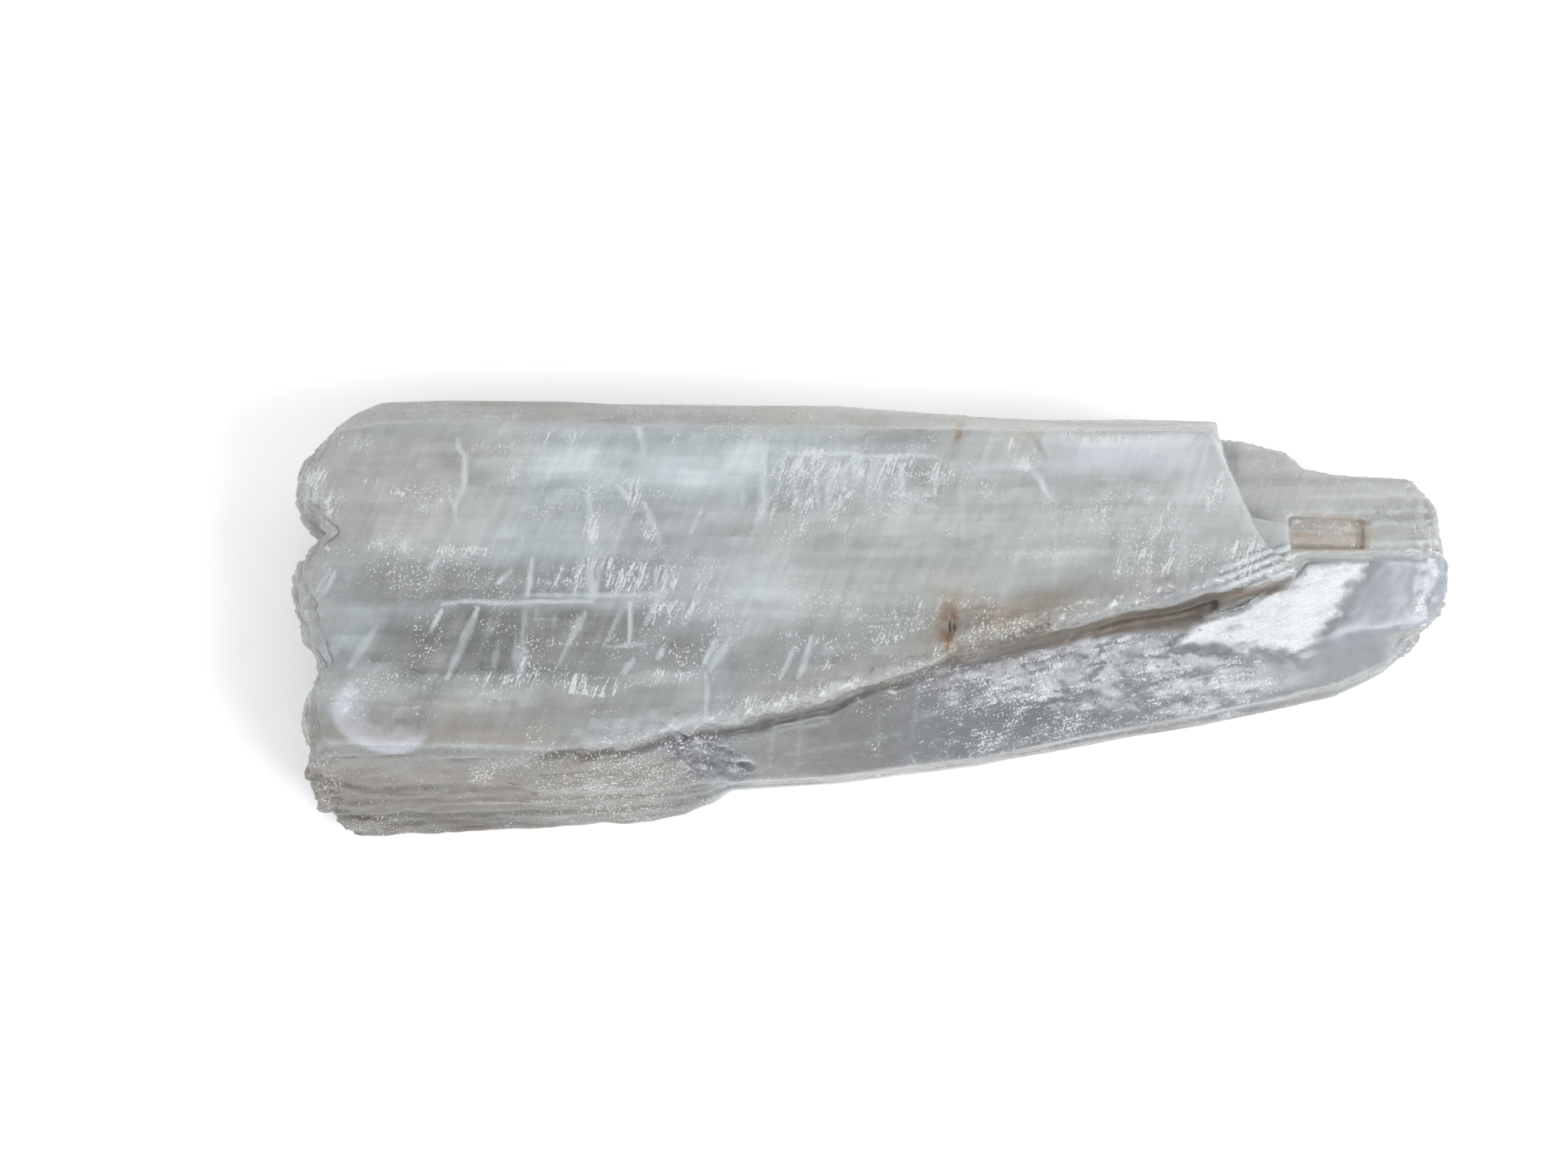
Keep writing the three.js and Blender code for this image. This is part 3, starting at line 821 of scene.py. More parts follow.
# Partly painted shade and partly stain: the front side below the ledge at the right is darkened as if in
# shade, and stained brown.
edge_shade_and_stain = faces["side"] * rise(x, 12, 34) * rise(faces["from_ledge"], -4, -8)
edge_shade_and_stain *= rise(clouds + streaks, -0.9, 0.1) * (0.2 + 0.8 * rise(bands + 0.3 * clouds, -0.1, 0.5))
tone *= 1 - 0.35 * edge_shade_and_stain
tone *= 1 + 0.16 * faces["side"] * bands * (1 - 0.85 * faces["front_block"])
print_cover("foil-like scales", foil_cover)

# %% Brightness of cracks and hollows
CREVICE_FOOT = [(14, -1.6), (36, -2.6), (43, -4.2), (50.5, -1.5), (57, -0.6)]
CREVICE_SHADE_TONES = [(20, 0.24), (36, 0.2), (43, 0.16), (50, 0.2)]
BACK_LINE = [(-80, 19), (-67, 24.4), (9, 23.4), (47, 23)]

foot = line_at(CREVICE_FOOT, x) + 0.4 * streaks
crevice = rise(faces["from_ledge"] - foot, -0.4, 0.4) * rise(faces["from_ledge"], 1.4, 0.4)
crevice *= rise(x, 8, 24) * rise(x, 58, 55) * rise(z, 27, 25.6) * rise(z, 15, 18)
groove = find_groove(points, faces["from_ledge"])
beside_crack = patch((17, -3.2), (18, 7), 1.0, turn=14, edge=0.5)
rough_spot = oval_reach(points, ROUGH_CENTRE, ROUGH_SIZE, ROUGH_LEAN)
rough_spot = rise(rough_spot, 1.2, 0.7) * (1 - faces["top"])
back_edge = y - line_at(BACK_LINE, x)
back_strip = rise(back_edge, -0.3, 1.2)
# Painted shade: the hollow under the ledge is set dark because it lies under the overhang. The brown stain
# over it comes later.
tone += (line_at(CREVICE_SHADE_TONES, x) * (1 + 0.2 * strokes) - tone) * crevice
# Painted shade: the groove is darkened as well as carved.
tone *= 1 - 0.45 * groove
tone *= 1 - 0.22 * beside_crack * (1 + 0.5 * clouds)
# Painted light and shade: the ridges of the rough spot are lighter and the hollows between them darker.
tone *= 1 - rough_spot * (0.4 - 0.45 * rough_ridges(points))
tone *= 1 - 0.2 * back_strip * rise(x, -5, -45)
print("the brightness runs from", round(float(tone.min()), 2), "to", round(float(tone.max()), 2))

# %% [markdown]
# ## Frost and painted sheen
# Frost is where leaves are crushed: it is given as how much of a place is covered, and the material
# later breaks that cover up into strokes and powder. It also carries a painted highlight on the face
# that mirrors the window and on the crests of the slope's scales. Veils are the thin cracks and films
# that whiten a place evenly, and on the splinters they also carry painted light on the crests. The
# sheen is painted: a bluish-white highlight laid on the rim of the chip, the ridges of the rough
# spot, the crests of the slope's scales and a few lifted leaves of the top.

# %% Frost on the top
TOP_FROST = [
    patch((-50, -10.4), (20, 2.4), 0.55, edge=0.6, ragged=1.4),
    patch((-34, -10.9), (24, 2.6), 0.95, edge=0.4, ragged=0.8),
    patch((-45.2, -5.5), (2.2, 11), 0.6, edge=0.6, ragged=1.2),
    patch((-37, 3.5), (18, 5), 0.7, edge=0.25, ragged=0.5),
    patch((-24.5, 3.2), (9, 3.6), 0.45, edge=0.6),
    patch((-26.5, -1.2), (8, 3.6), 0.55, edge=0.5),
    patch((-8.6, 15.8), (12, 9.4), 1.0, edge=0.5, ragged=1.6, shear=0),
    patch((0.5, 17), (15, 6), 0.85, edge=0.5, ragged=1.4, shear=0),
    patch((-7, 10.6), (12, 4), 0.6, edge=0.7, ragged=1.6),
    patch((19.5, 18.6), (3.2, 2.4), 1.0, edge=0.4, ragged=0.6, shear=0),
    patch((18.6, 21.6), (2.4, 1.4), 1.0, edge=0.4, ragged=0.4, shear=0),
    patch((-64, 7.4), (26, 1.6), 0.6, edge=0.6, ragged=1.0),
    patch((-44, 22.6), (14, 3.0), 0.5, edge=0.7, ragged=1.6),
    patch((-24, 21.8), (26, 2.6), 0.35, edge=0.7, ragged=1.4),
    patch((-63, 15.2), (13, 1.6), 0.5, turn=-14, edge=0.6),
    patch((-49.5, 17), (9, 1.6), 0.45, turn=38, edge=0.6, shear=0),
    patch((-37.8, 11.5), (2.4, 9), 0.6, turn=8, edge=0.7, ragged=1.2, shear=0),
    patch((-30.6, 11.5), (2.6, 10), 0.65, turn=18, edge=0.7, ragged=1.2, shear=0),
    patch((20, 19), (4.5, 6), 0.5, edge=0.6, ragged=0.8, shear=0),
    patch((6, 17.5), (12, 3.6), 0.45, edge=0.6),
    patch((34, 22.4), (20, 1.6), 0.5, edge=0.6),
    patch((32, 13), (20, 1.8), 0.6, edge=0.5),
    patch((37, 7), (12, 8), 0.55, edge=0.7, ragged=1.6),
    patch((3.5, -3.2), (9, 4.6), 0.6, turn=12, edge=0.6),
    patch((-12, -5), (8, 1.2), 0.5, edge=0.6),
    patch((-7, -8.2), (6, 1.8), 0.6, edge=0.5),
    patch((-18, -13), (8, 0.9), 0.5, edge=0.6),
    patch((-76, 15.5), (7, 9), 0.6, edge=0.6, shear=0),
    patch((-70, 22), (8, 3), 0.4, edge=0.7),
    patch((47, 17), (2.4, 14), 0.5, turn=-18, edge=0.6, shear=0),
    patch((50, 7), (5, 6), 0.7, turn=-28, edge=0.6, shear=0),
]
top_frost = faces["top"] * strongest(TOP_FROST)
print_cover("frost on the top", top_frost)

# %% Frost on the bevel, the ledge and the slope
BEVEL_FROST = [
    patch((-10, 25.6), (9, 1.8), 0.6, edge=0.7, ragged=1.2),
    patch((-49, 26), (9, 1.2), 0.6, edge=0.6),
    patch((5, 24.6), (9, 1.4), 0.6, edge=0.7),
    patch((-31, 25.4), (5, 2.6), 0.6, edge=0.7, ragged=1.2),
    patch((-62, 24.6), (9, 1.4), 0.4, edge=0.7),
    patch((27, 24), (12, 1.2), 0.55, edge=0.7),
]
BEVEL_END = 47

bevel = rise(back_edge, -0.3, 1.0) * rise(z, 15, 19) * (x < BEVEL_END)
tone *= 1 + bevel * (0.1 * streaks + 0.08 * clouds)
rim = rise(np.abs(faces["from_ledge"] - RIM_OFFSET - 0.8 * clouds), 2.4, 0.3) * rise(z, 23, 26)
fan = patch(FAN_CENTRE, (13, 5), 1.0, turn=SPLINTER_TURN, shear=0) * rise(z, *FAN_BAND)
frost = strongest([
    top_frost,
    0.4 * rim * rise(x, -50, -34),
    bevel * strongest(BEVEL_FROST),
    0.4 * fan,
    patch((-34.5, -22.5), (18, 9), 0.5, edge=0.7, ragged=1.6) * faces["front_block"],
    patch((-52.4, -22.2), (3, 2.2), 0.5, edge=0.6),
    patch((75.4, 0.6), (0.9, 6), 0.9, turn=-12, edge=0.5, ragged=0.3, shear=0),
    0.3 * rough_spot,
    # On the slope the frost is stronger on the crests of the scales, partly as a painted highlight.
    0.5 * foil_cover * (1 - crevice) * (0.55 + 0.45 * rise(foil, -0.6, 0.6)),
    0.25 * np.maximum(faces["left_end"], faces["right_end"]),
])
broken = rise(0.8 * strokes + 0.5 * clouds + 0.4 * streaks, -0.4, 0.6)
frost *= 0.3 + 0.8 * np.maximum(broken, 0.6 * np.maximum(foil_cover, faces["front_block"]))
print_cover("all frost", frost)

# %% Painted glare on the bright face
MOST_FROST = 0.58

# Painted highlight: a white glare with granular edges is laid on the face that mirrors the window. It goes
# into the frost mark too, so part of the frost there is painted highlight.
glare = faces["mirror"] + 0.4 * layered_grain(along_ledge, (2.4, 0.8, 2), 151)
glare = rise(glare, 0.4, 0.95) * rise(faces["mirror"], 0.1, 0.5) * (1 - crevice)
frost = np.minimum(np.maximum(frost, 0.45 * glare), MOST_FROST)
print_cover("glare", glare)

# %% Cracks in the clear parts
BLADES = [
    ([(-57.1, -10.3), (-52.9, -1.1)], 1.3, 0.75),
    ([(-59.5, -3.9), (-58.1, -1.1)], 0.4, 0.8),
    ([(-70, -9.1), (-66.6, -3.2)], 1.5, 0.45),
    ([(-40.9, -6), (-38.7, -1.4)], 0.9, 0.6),
    ([(-32.7, 0), (-32.8, -6)], 0.3, 0.8),
    ([(-35.7, -6.3), (-30.6, -6)], 0.2, 0.6),
    ([(-33.8, -9.8), (-32.2, -7.9)], 0.8, 0.7),
    ([(-29.1, -7.9), (-28.2, -6.5)], 0.7, 0.8),
    ([(-22.8, -8.2), (-21.4, -4.9)], 0.3, 0.8),
    ([(-22.0, -9.3), (-20.1, -5.2)], 1.0, 0.55),
    ([(-12.6, -10.3), (-11.2, -6.3)], 0.3, 0.6),
    ([(-10.2, -10.1), (-8.8, -4.7)], 0.6, 0.6),
    ([(-22.6, -10.1), (-22.6, -15.8)], 0.3, 0.5),
    ([(-74.9, 1.1), (-73.2, 4.4)], 0.2, 0.6),
    ([(-73.9, 0.9), (-72.5, 4)], 0.2, 0.6),
    ([(-59.9, 4.4), (-58.5, 5.7)], 0.5, 0.7),
    ([(-50.5, 2.6), (-48.8, 4.4)], 0.5, 0.9),
    ([(-58, -0.3), (-37.6, 0.1)], 0.2, 0.6),
    ([(-46.4, 0.9), (-46, 6)], 0.6, 0.75),
    ([(-46, 0.9), (-28, 1.1)], 0.3, 0.7),
    ([(-28.4, 0.9), (-28.1, 5.5)], 0.2, 0.6),
    ([(-30.6, -2.9), (-28.8, 0.4)], 0.9, 0.7),
    (
        [(-56.1, 22.3), (-56.1, 20.9), (-55.3, 19.8), (-55.3, 15.2), (-56.4, 13), (-56.1, 10.9)],
        0.5, 0.75,
    ),
    ([(-38.6, 15.2), (-38, 9.5), (-37.2, 7.2)], 0.9, 0.5),
    ([(-34.9, 15.8), (-32, 13)], 0.5, 0.6),
    ([(-30.9, 13.4), (-29.9, 11), (-28.8, 7.4)], 0.9, 0.6),
    ([(-33.5, 26.3), (-31.6, 23.5), (-31.1, 20)], 0.8, 0.8),
    ([(11.7, 17.5), (11.7, 8)], 0.5, 0.2),
    ([(16.2, 17.5), (16.1, 8)], 0.2, 0.16),
    ([(24, 15), (24, 2)], 0.5, 0.2),
    ([(11.8, 18.2), (21, 18.4)], 0.4, 0.35),
    ([(3.6, 18.6), (3.6, 15)], 0.6, 0.7),
    ([(8.3, 18.6), (8.1, 14.6)], 0.6, 0.65),
    ([(2.5, 14.9), (8.4, 12.8)], 0.5, 0.5),
    ([(20.4, 18.2), (22.2, 16.6), (23.4, 14.2)], 0.9, 0.8),
    ([(-11.4, 20.2), (-2.4, 20.1)], 0.3, 0.8),
    ([(-2.8, 19.7), (8.4, 19.8)], 0.3, 0.8),
    ([(-9.6, 19.8), (-10.8, 16), (-9.8, 12.4)], 0.5, 0.6),
    ([(-6.4, 19.6), (-7.8, 16.4), (-7.6, 13)], 0.4, 0.6),
    ([(-2.4, 19.6), (-4.4, 17.6), (-4.2, 15)], 0.8, 0.8),
    ([(0.8, 19.2), (-1, 16.8), (-1, 14.4)], 0.5, 0.6),
    ([(-12.6, 16), (-14.6, 12.6), (-16, 10.8)], 0.4, 0.5),
    ([(44.9, 21.5), (42.7, 12.6)], 0.3, 0.55),
    ([(43.2, 21), (41.2, 12.8)], 0.2, 0.45),
]
TERRACE_LINES = [
    ([(53, 14), (78, 14.3)], 0.3, 0.4),
    ([(60, 16.2), (77, 16.5)], 0.3, 0.3),
    ([(67.5, 9.6), (79, 9.9)], 0.4, 0.6),
    ([(69, 12.4), (78, 12.8)], 0.4, 0.45),
    ([(64, 18.2), (74, 18)], 0.3, 0.3),
    ([(50, 10.5), (57, 10.2)], 0.3, 0.4),
]
SLOPE_LINES = [
    ([(-13.5, -15.8), (-13.9, -20.8)], 0.2, 0.2),
    ([(-9.8, -15), (-10.4, -21)], 0.3, 0.16),
    ([(-17, -17.8), (-6, -15.2)], 0.2, 0.18),
    ([(6.4, -11), (5.4, -17)], 0.3, 0.2),
    ([(1, -13.4), (0.4, -19)], 0.2, 0.16),
    ([(-12, -19.4), (4, -16.4)], 0.2, 0.14),
]
cracks = strongest([
    all_blades(BLADES, faces["top"]),
    all_blades(TERRACE_LINES, faces["terrace"]),
    all_blades(SLOPE_LINES, faces["slope"]),
])
print(len(BLADES) + len(TERRACE_LINES) + len(SLOPE_LINES), "cracks stand in the clear parts")

# %% Veils
COMBED_VEILS = [
    patch((-8, 16), (18, 10), 0.85, edge=0.6, ragged=1.8, shear=0),
    patch((-34.5, 3.5), (12, 6), 0.8, edge=0.5, ragged=0.8),
    patch((36, 19.5), (16, 7), 0.5, edge=0.6),
    patch((-47, -5.5), (6, 11), 0.45, edge=0.6, ragged=1.2),
    patch((38, 7), (14, 8), 0.4, edge=0.6, ragged=1.2),
]
# Painted light and shade on the splinters: their crests are whitened and the valleys between them
# darkened, following the carved relief.
ridge = fan * rise(splinter_heights(points), 0.15, 0.4)
tone *= 1 - 0.35 * (fan - ridge)
veil = strongest([
    cracks,
    faces["top"] * combed * strongest(COMBED_VEILS),
    patch((65.4, 12), (2.6, 1), 0.6, ragged=0.2, shear=0) * faces["terrace"],
    0.55 * windows * shards,
    # painted light on the crests of the splinters
    0.75 * ridge,
    0.5 * faces["side"] * rise(bands, 0.55, 0.9) * (1 - edge_shade_and_stain),
    0.35 * faces["top"] * flakes * (1 - windows),
    blade([(45.4, 22.8), (47.6, 18.4), (50.6, 13), (53.6, 8.2)], 0.5, 1.2) * rise(z, 20, 23),
    0.25 * faces["top"] * shards * rise(clouds, 0, 0.6),
])
print_cover("veils", veil)

# %% Painted sheen
chip_reach = oval_reach(points, CHIP_CENTRE, CHIP_SIZE)
chip_side = (CHIP_CENTRE[0] - x) / CHIP_SIZE[0] + 1.1 * (CHIP_CENTRE[1] - y) / CHIP_SIZE[1]
# Painted highlight: the rim of the chip is lit on its left and front, where its walls face the light.
painted_chip_highlight = rise(chip_reach + 0.15 * clouds, 1.12, 1.0) * rise(chip_reach + 0.12 * strokes, 0.3, 1.0)
painted_chip_highlight *= rise(chip_side, -0.3, 0.5) * rise(z, *CHIP_BAND)
# Painted sheen: bluish-white highlights on the chip's rim, the ridges of the rough spot, the crests of the
# slope's scales and a few leaves of the top.
painted_sheen = strongest([
    0.6 * painted_chip_highlight,
    0.6 * rough_spot * rise(rough_ridges(points), 0.1, 0.8),
    0.05 * foil_cover + 0.2 * foil_cover * rise(foil, 0.35, 1.2),
    faces["top"] * patch((34, 20), (20, 5), 0.4),
    faces["top"] * patch((-2, 17.6), (12, 7), 0.3, edge=0.7),
])
painted_sheen *= 1 - crevice
print_cover("painted_sheen", painted_sheen)

# %% [markdown]
# ## Warmth and stains
# Gypsum is a cold grey where it is fresh and a warm one where iron has come in. Stains are that iron:
# beige where it is thin, rust where it has gathered in cracks and hollows. Both multiply the colour
# below them, as a thin film does, so they are masks too.

# %% Warmth
WARM_ALONG = [(-40, 0.3), (10, 0.6)]

cool_band = patch((-29, 18.4), (40, 8), 1.0, edge=0.7, ragged=1.4)
warm = strongest([
    line_at(WARM_ALONG, x) * (1 - cool_band) * (1 - foil_cover),
    0.9 * lower_top,
    shoulder,
    0.9 * back_strip * (x < BEVEL_END),
    faces["top"] * patch((-66, 15), (34, 20), 1.0, edge=0.7),
    block_side,
    faces["terrace"],
    0.9 * windows,
    0.9 * faces["left_end"],
    0.6 * faces["right_end"],
    faces["top"] * patch((-50, -13), (60, 9), 0.8, edge=0.7),
])
print_cover("warmth", warm)

# %% Beige stain
POCKET_START = 56.6

upper_left = rise(z, 17, 22)
raised = rise(z, 19, 25)
stain = strongest([
    patch((-33.3, 26.5), (4, 2), 0.6),
    patch((-2.8, 25.6), (6, 2), 0.5),
    patch((11.5, 24), (3, 5), 0.6) * raised,
    patch((20.5, 22.5), (5, 4), 0.4),
    patch((9.8, -3.4), (6, 10), 1.0, edge=0.7, shear=0),
    patch((13, -0.5), (6, 3), 0.55, edge=0.6),
    beside_crack,
    0.4 * shoulder,
    0.6 * groove,
    patch((22.6, -1.5), (1.8, 5), 0.6),
    crevice,
    edge_shade_and_stain,
    patch((63, 11.2), (11.6, 5.4), 0.9, edge=0.1, ragged=0.1, shear=0) * (x > POCKET_START),
    patch((-37, -23.5), (20, 10), 0.6, edge=0.7) * faces["front_block"],
    0.95 * block_side * rise(faces["from_ledge"], -1, -5) * rise(x, -38, -50),
    0.35 * back_strip * (x < BEVEL_END),
    patch((-56.5, -17.5), (1.8, 6), 0.6),
    patch((-75.6, -19.4), (4, 3), 0.8) * upper_left,
    patch((-74.5, 8.5), (5, 3), 0.4) * upper_left,
])
blotches = rise(layered_grain(points, (4, 2.4, 3), 141), -0.7, 0.5)
stain *= 0.35 + 0.65 * np.maximum(blotches, crevice)
print_cover("beige stain", stain)

# %% Rust
POCKET_RUST_START = 56.8
POCKET_RUST = [(12.6, 0.5, 0.5), (11, 0.4, 0.3), (9.0, 0.5, 0.3)]

near_top = rise(z, 22, 25)
pocket_rust = [
    patch((62.5, middle), (10.5, width), strength, ragged=0.1, shear=0)
    for middle, width, strength in POCKET_RUST
]
rust = strongest([
    patch((9.8, -3.6), (2.4, 6), 0.9, edge=0.8, ragged=0.6, shear=0),
    blade([(9.4, -0.4), (9.5, -1.6), (9.3, -3.2), (9.6, -5.2), (9.9, -8)], 0.6, 1.0),
    blade([(11, -1.4), (15, -0.6)], 0.5, 0.4) * faces["top"],
    blade([(11.4, 0.9), (10.6, -0.6), (10, -2)], 0.4, 0.3),
    patch((10, -0.6), (4, 3), 0.2, edge=0.8, shear=0),
    0.6 * crevice * rise(x, 20, 42),
    0.3 * edge_shade_and_stain * rise(x, 24, 40),
    0.3 * block_crack,
    patch((11.3, 24), (1, 4), 0.6) * raised,
    blade([(19.5, 24.5), (22, 22), (23.6, 18.6)], 0.5, 0.3) * near_top,
    blade([(8, 24.6), (5.4, 23.4)], 0.4, 0.3) * near_top,
    patch((-75.6, -19.4), (2.4, 1.6), 0.7) * upper_left,
    strongest(pocket_rust) * (x > POCKET_RUST_START),
    patch((-40, -21), (3, 5), 0.25, edge=0.7),
])
rust *= 0.3 + 0.7 * rise(layered_grain(points, (2, 1.6, 2), 145), -0.6, 0.4)
print_cover("rust", rust)

# %% Sparkle, gloss and the way the strokes run
# Sparkle says how many painted glints, white dots in the base colour, a place gets.
clusters = rise(layered_grain(points, (5, 3, 4), 131), -0.2, 0.9)
sparkle = 0.27 + 0.4 * clusters + 0.6 * frost + 0.1 * foil_cover + 0.1 * faces["front_block"]
sparkle = np.clip(sparkle * (1 - faces["mirror"]) * (1 - 0.6 * faces["satin"]), 0, 1)
sparkle *= (1 - 0.8 * crevice) * (1 - 0.8 * np.clip(rust, 0, 1)) * (1 - 0.5 * foil_cover)
gloss = strongest([
    0.2 * faces["slope"] * rise(x, 52, 46),
    0.7 * faces["side"] * rise(bands, 0.1, -0.5) * (1 - faces["front_block"]),
    0.8 * windows,
])
run = STROKE_ANGLE + (LEDGE_ANGLE - STROKE_ANGLE) * np.maximum(faces["slope"], faces["front_block"])
run *= 1 - faces["terrace"]
hair = strongest([
    0.3 * faces["top"] * rise(clouds + 0.3 * streaks, 0.1, 0.9),
    0.3 * faces["terrace"],
    0.3 * back_strip,
])
print("the strokes run at up to", round(math.degrees(float(run.max()))), "degrees")

# %% Write the marks on the skin
# Painted reflection: a blue tint where the slope, the bright faces, the rough spot and the chip's rim
# mirror a cool sky.
painted_blue_sheen = strongest([foil_cover, faces["mirror"], faces["satin"], rough_spot, 0.6 * painted_chip_highlight])
fine = strongest([painted_blue_sheen, faces["front_block"], beside_crack])
painted_blue_sheen *= (1 - crevice) * (1 - edge_shade_and_stain)
MARKS = {
    "fine": fine,
    "painted_blue_sheen": painted_blue_sheen,
    "glare": 0.55 * glare,
    "tone": tone,
    "hair": hair,
    "run": run,
    "frost": frost,
    "veil": veil,
    "painted_sheen": painted_sheen,
    "warm": warm,
    "stain": stain,
    "rust": rust,
    "sparkle": sparkle,
    "gloss": gloss,
}
for name, values in MARKS.items():
    skin.attributes.new(name, "FLOAT", "POINT").data.foreach_set("value", values.astype(np.float32))
print("the skin carries", len(MARKS), "marks")

# %% [markdown]
# ## Building nodes
# Every material here is a small tree of nodes. One helper adds a node, sets its options and either
# fills or links its inputs, so that each later line reads as one step of the recipe.

# %% Helpers for node trees
def add_node(tree, kind, inputs=None, **options):
    """Adds a node. An input that is a socket is linked, and any other value is set."""
    made = tree.nodes.new(kind)
    for name, value in options.items():
        setattr(made, name, value)
    for name, value in (inputs or {}).items():
        if isinstance(value, bpy.types.NodeSocket):
            tree.links.new(value, made.inputs[name])
        else:
            made.inputs[name].default_value = value
    return made


def calculate(tree, operation, first, second):
    """The result of one sum on two values."""
    return add_node(tree, "ShaderNodeMath", {0: first, 1: second}, operation=operation).outputs[0]


def mix_colours(tree, amount, under, over, way="MIX"):
    """One colour laid over another, or multiplied with it, by an amount from 0 to 1."""
    inputs = {0: amount, 6: under, 7: over}
    return add_node(tree, "ShaderNodeMix", inputs, data_type="RGBA", blend_type=way).outputs[2]


def mix_values(tree, amount, under, over):
    """One value laid over another by an amount from 0 to 1."""
    return add_node(tree, "ShaderNodeMix", {0: amount, 2: under, 3: over}).outputs[0]


def spread(tree, value, low, high, new_low=0.0, new_high=1.0):
    """Stretches the part of a value between low and high to a new range, with soft ends."""
    inputs = {"Value": value, "From Min": low, "From Max": high, "To Min": new_low, "To Max": new_high}
    return add_node(tree, "ShaderNodeMapRange", inputs, interpolation_type="SMOOTHSTEP").outputs[0]


print("the helpers are ready for node trees")

# %% [markdown]
# ## Shared effects
# Two effects are node groups, so that each use of them has its own values: lines that run along a
# grain, and a cover that breaks up into flecks. Strokes, powder and leaves are the first one with
# different lengths and angles. Frost and the tiny glints of broken leaf edges, which are painted
# white dots, are the second one.

# %% A group for lines along a grain
def new_group(name, inputs, outputs):
    """An empty group with named values in and out, and its two end nodes."""
    group = bpy.data.node_groups.new(name, "ShaderNodeTree")
    for label, kind in inputs.items():
        group.interface.new_socket(label, in_out="INPUT", socket_type=kind)
    for label, kind in outputs.items():
        group.interface.new_socket(label, in_out="OUTPUT", socket_type=kind)
    return group, group.nodes.new("NodeGroupInput").outputs, group.nodes.new("NodeGroupOutput").inputs


VALUE, VECTOR = "NodeSocketFloat", "NodeSocketVector"
NOISE_RANGE = (0.22, 0.78)

grain_group, given, result = new_group(
    "leaf_grain",
    {"Position": VECTOR, "Angle": VALUE, "Along": VALUE, "Across": VALUE},
    {"Lines": VALUE},
)
straightened = add_node(
    grain_group, "ShaderNodeVectorRotate", {"Vector": given["Position"], "Angle": given["Angle"]},
    rotation_type="Z_AXIS", invert=True,
)
cell = add_node(
    grain_group, "ShaderNodeCombineXYZ", {"X": given["Along"], "Y": given["Across"], "Z": given["Across"]}
)
squeezed = add_node(
    grain_group, "ShaderNodeVectorMath", {0: straightened.outputs[0], 1: cell.outputs[0]},
    operation="DIVIDE",
)
lines = add_node(
    grain_group, "ShaderNodeTexNoise",
    {"Vector": squeezed.outputs[0], "Scale": 1.0, "Detail": 1.5, "Roughness": 0.6},
)
grain_group.links.new(spread(grain_group, lines.outputs["Fac"], *NOISE_RANGE), result["Lines"])
print("made the group", grain_group.name, "with", len(grain_group.nodes), "nodes")

# %% A group for a cover that breaks up
COVER_START = (0.02, 0.2)

flecks_group, given, result = new_group(
    "broken_cover", {"Cover": VALUE, "Pattern": VALUE, "Softness": VALUE}, {"Mask": VALUE}
)
covered = calculate(flecks_group, "ADD", given["Pattern"], given["Cover"])
level = calculate(flecks_group, "SUBTRACT", covered, 1.0)
low = calculate(flecks_group, "MULTIPLY", given["Softness"], -1.0)
mask = spread(flecks_group, level, low, given["Softness"])
started = spread(flecks_group, given["Cover"], *COVER_START)
mask = calculate(flecks_group, "MULTIPLY", mask, started)
flecks_group.links.new(mask, result["Mask"])
print("made the group", flecks_group.name, "with", len(flecks_group.nodes), "nodes")

# %% [markdown]
# ## The crystal's finish
# Gypsum bends light a little more than window glass does. Its clear body lets most light in and
# tints it a faint grey green; crushed leaf edges scatter it and look white; lifted leaves mirror it
# with a blue sheen, which is painted into the colour here as a highlight; iron stains it from beige
# to rust. Glass, milk and paint could be three shaders mixed by masks. One shader with the marks as
# masks for its colour and its roughness is simpler, and scattering below the surface gives it the milk.

# %% Start the finish
selenite = bpy.data.materials.new("selenite")
selenite.use_nodes = True
tree = selenite.node_tree
shader = tree.nodes["Principled BSDF"]
place = add_node(tree, "ShaderNodeTexCoord").outputs["Object"]
position = add_node(tree, "ShaderNodeVectorMath", {0: place, 3: 1 / MM}, operation="SCALE").outputs[0]


def mark(name):
    """The value that a list of marks left on the skin."""
    return add_node(tree, "ShaderNodeAttribute", attribute_name=name).outputs["Fac"]


def place_group(group, **inputs):
    """The outputs of a group placed in the material, the first of them first."""
    return add_node(tree, "ShaderNodeGroup", inputs, node_tree=group).outputs


print("the finish starts with", len(tree.nodes), "nodes")

# %% Patterns
LEAF_ANGLE = 0.02
HAIRLINE_HALF = 0.05


def grain_lines(angle, along, across):
    """Lines along a grain, with the length and width of their cells in millimetres."""
    return place_group(grain_group, Position=position, Angle=angle, Along=along, Across=across)[0]


def hairline(leaves):
    """Thin lines where a slow pattern passes its middle."""
    from_middle = calculate(tree, "SUBTRACT", leaves, 0.5)
    away = add_node(tree, "ShaderNodeMath", {0: from_middle}, operation="ABSOLUTE")
    return spread(tree, away.outputs[0], HAIRLINE_HALF, 0.0)


slant_lines = grain_lines(mark("run"), 2.2, 0.26)
powder = grain_lines(FRACTURE_ANGLE, 0.34, 0.26)
slant_leaves = grain_lines(FRACTURE_ANGLE, 9.0, 1.2)
long_leaves = grain_lines(LEAF_ANGLE, 16.0, 0.9)
hairlines = calculate(tree, "MAXIMUM", hairline(slant_leaves), hairline(long_leaves))
print("the patterns make it", len(tree.nodes), "nodes")

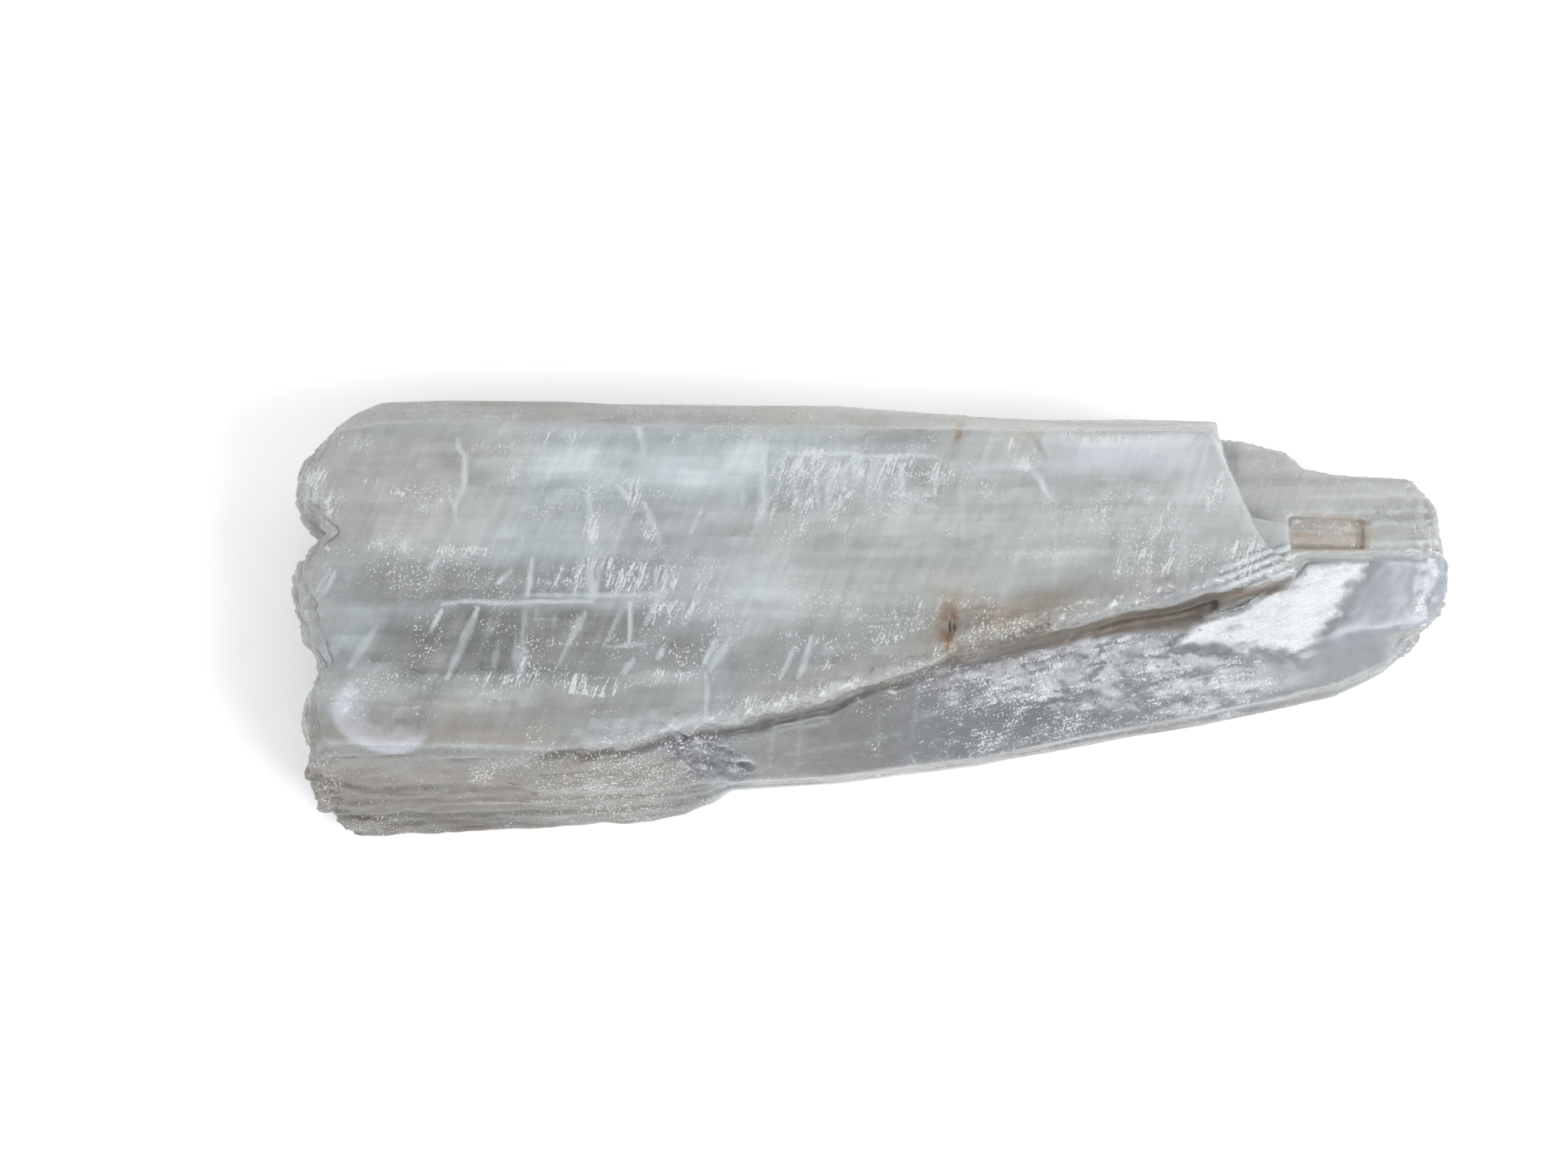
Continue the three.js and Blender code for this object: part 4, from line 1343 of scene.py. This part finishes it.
# %% Masks
FROST_SHARE = 0.85
FROST_SOFTNESS = 0.14
GLINT_SHARE = 0.3
GLINT_SOFTNESS = 0.05
POWDER_SHARES = (0.35, 0.6)
GAP_LIMITS = (0.42, 0.2)
MOST_GAP = 0.75

frost_mark = mark("frost")
crushed = mix_values(tree, spread(tree, mark("fine"), 0.0, 1.0, *POWDER_SHARES), slant_lines, powder)
frost_cover = calculate(tree, "MULTIPLY", frost_mark, FROST_SHARE)
frost_mask = place_group(flecks_group, Cover=frost_cover, Pattern=crushed, Softness=FROST_SOFTNESS)[0]
gap_mask = calculate(tree, "MULTIPLY", frost_mark, spread(tree, crushed, *GAP_LIMITS, 0.0, MOST_GAP))
# Painted glints: white dots mixed into the base colour where the sparkle mark is high.
glint_cover = calculate(tree, "MULTIPLY", mark("sparkle"), GLINT_SHARE)
glints = place_group(flecks_group, Cover=glint_cover, Pattern=powder, Softness=GLINT_SOFTNESS)[0]
hair_mask = calculate(tree, "MULTIPLY", hairlines, mark("hair"))
stain_mask = mark("stain")
print("the masks make it", len(tree.nodes), "nodes")

# %% Colour
COOL_TINT = (1.01, 1.12, 1.15, 1)
WARM_TINT = (1.105, 1.095, 1.055, 1)
PAINTED_BLUE_TINT = (1.08, 1.115, 1.22, 1)
PAINTED_SHEEN_COLOUR = (0.82, 0.86, 0.95, 1)
VEIL_COLOUR = (0.82, 0.88, 0.90, 1)
GAP_COLOUR = (0.32, 0.34, 0.335, 1)
FROST_AND_GLARE_COLOUR = (0.94, 0.975, 1.0, 1)
BEIGE_TINT = (0.91, 0.78, 0.67, 1)
RUST_TINT = (0.52, 0.26, 0.11, 1)
GLINT_COLOUR = (0.98, 0.98, 1.0, 1)

tint = mix_colours(tree, mark("warm"), COOL_TINT, WARM_TINT)
# Painted reflection: the blue tint of a cool sky on the faces that mirror it.
tint = mix_colours(tree, mark("painted_blue_sheen"), tint, PAINTED_BLUE_TINT)
lamellae = calculate(tree, "MULTIPLY", mark("tone"), spread(tree, slant_leaves, 0.4, 0.6, 0.97, 1.03))
lamellae = calculate(tree, "MULTIPLY", lamellae, spread(tree, long_leaves, 0.44, 0.56, 0.98, 1.02))
colour = add_node(tree, "ShaderNodeVectorMath", {0: tint, 3: lamellae}, operation="SCALE").outputs[0]
# The sheen and the glare laid over the colour here are painted highlights.
for mask, over in (
    (mark("painted_sheen"), PAINTED_SHEEN_COLOUR),
    (mark("veil"), VEIL_COLOUR),
    (hair_mask, VEIL_COLOUR),
    (mark("glare"), FROST_AND_GLARE_COLOUR),
    (gap_mask, GAP_COLOUR),
    (frost_mask, FROST_AND_GLARE_COLOUR),
):
    colour = mix_colours(tree, mask, colour, over)
colour = mix_colours(tree, stain_mask, colour, BEIGE_TINT, "MULTIPLY")
colour = mix_colours(tree, mark("rust"), colour, RUST_TINT, "MULTIPLY")
colour = mix_colours(tree, glints, colour, GLINT_COLOUR)
tree.links.new(colour, shader.inputs["Base Color"])
print("the colours make it", len(tree.nodes), "nodes")

# %% Roughness and the clear body
CLEAN_ROUGHNESS = 0.3
GLOSSY_ROUGHNESS = 0.08
FROST_ROUGHNESS = 0.45
STAIN_ROUGHNESS = 0.5
TRANSMISSION = 0.55
GYPSUM_IOR = 1.52
MILK_DEPTH = 4 * MM
BODY_COLOUR = (0.80, 0.86, 0.83, 1)
BODY_DENSITY = 10.0

roughness = mix_values(tree, mark("gloss"), CLEAN_ROUGHNESS, GLOSSY_ROUGHNESS)
roughness = mix_values(tree, frost_mask, roughness, FROST_ROUGHNESS)
roughness = mix_values(tree, stain_mask, roughness, STAIN_ROUGHNESS)
tree.links.new(roughness, shader.inputs["Roughness"])
shader.inputs["Subsurface Weight"].default_value = 1.0
shader.inputs["Subsurface Radius"].default_value = (1, 1, 1)
shader.inputs["Subsurface Scale"].default_value = MILK_DEPTH
shader.inputs["IOR"].default_value = GYPSUM_IOR
shader.inputs["Transmission Weight"].default_value = TRANSMISSION
absorb = add_node(tree, "ShaderNodeVolumeAbsorption", {"Color": BODY_COLOUR, "Density": BODY_DENSITY})
tree.links.new(absorb.outputs["Volume"], tree.nodes["Material Output"].inputs["Volume"])
skin.materials.clear()
skin.materials.append(selenite)
print("the finish has", len(tree.nodes), "nodes")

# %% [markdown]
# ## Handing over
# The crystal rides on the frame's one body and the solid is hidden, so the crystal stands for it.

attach(crystal, "root")
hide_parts("selenite_crystal")
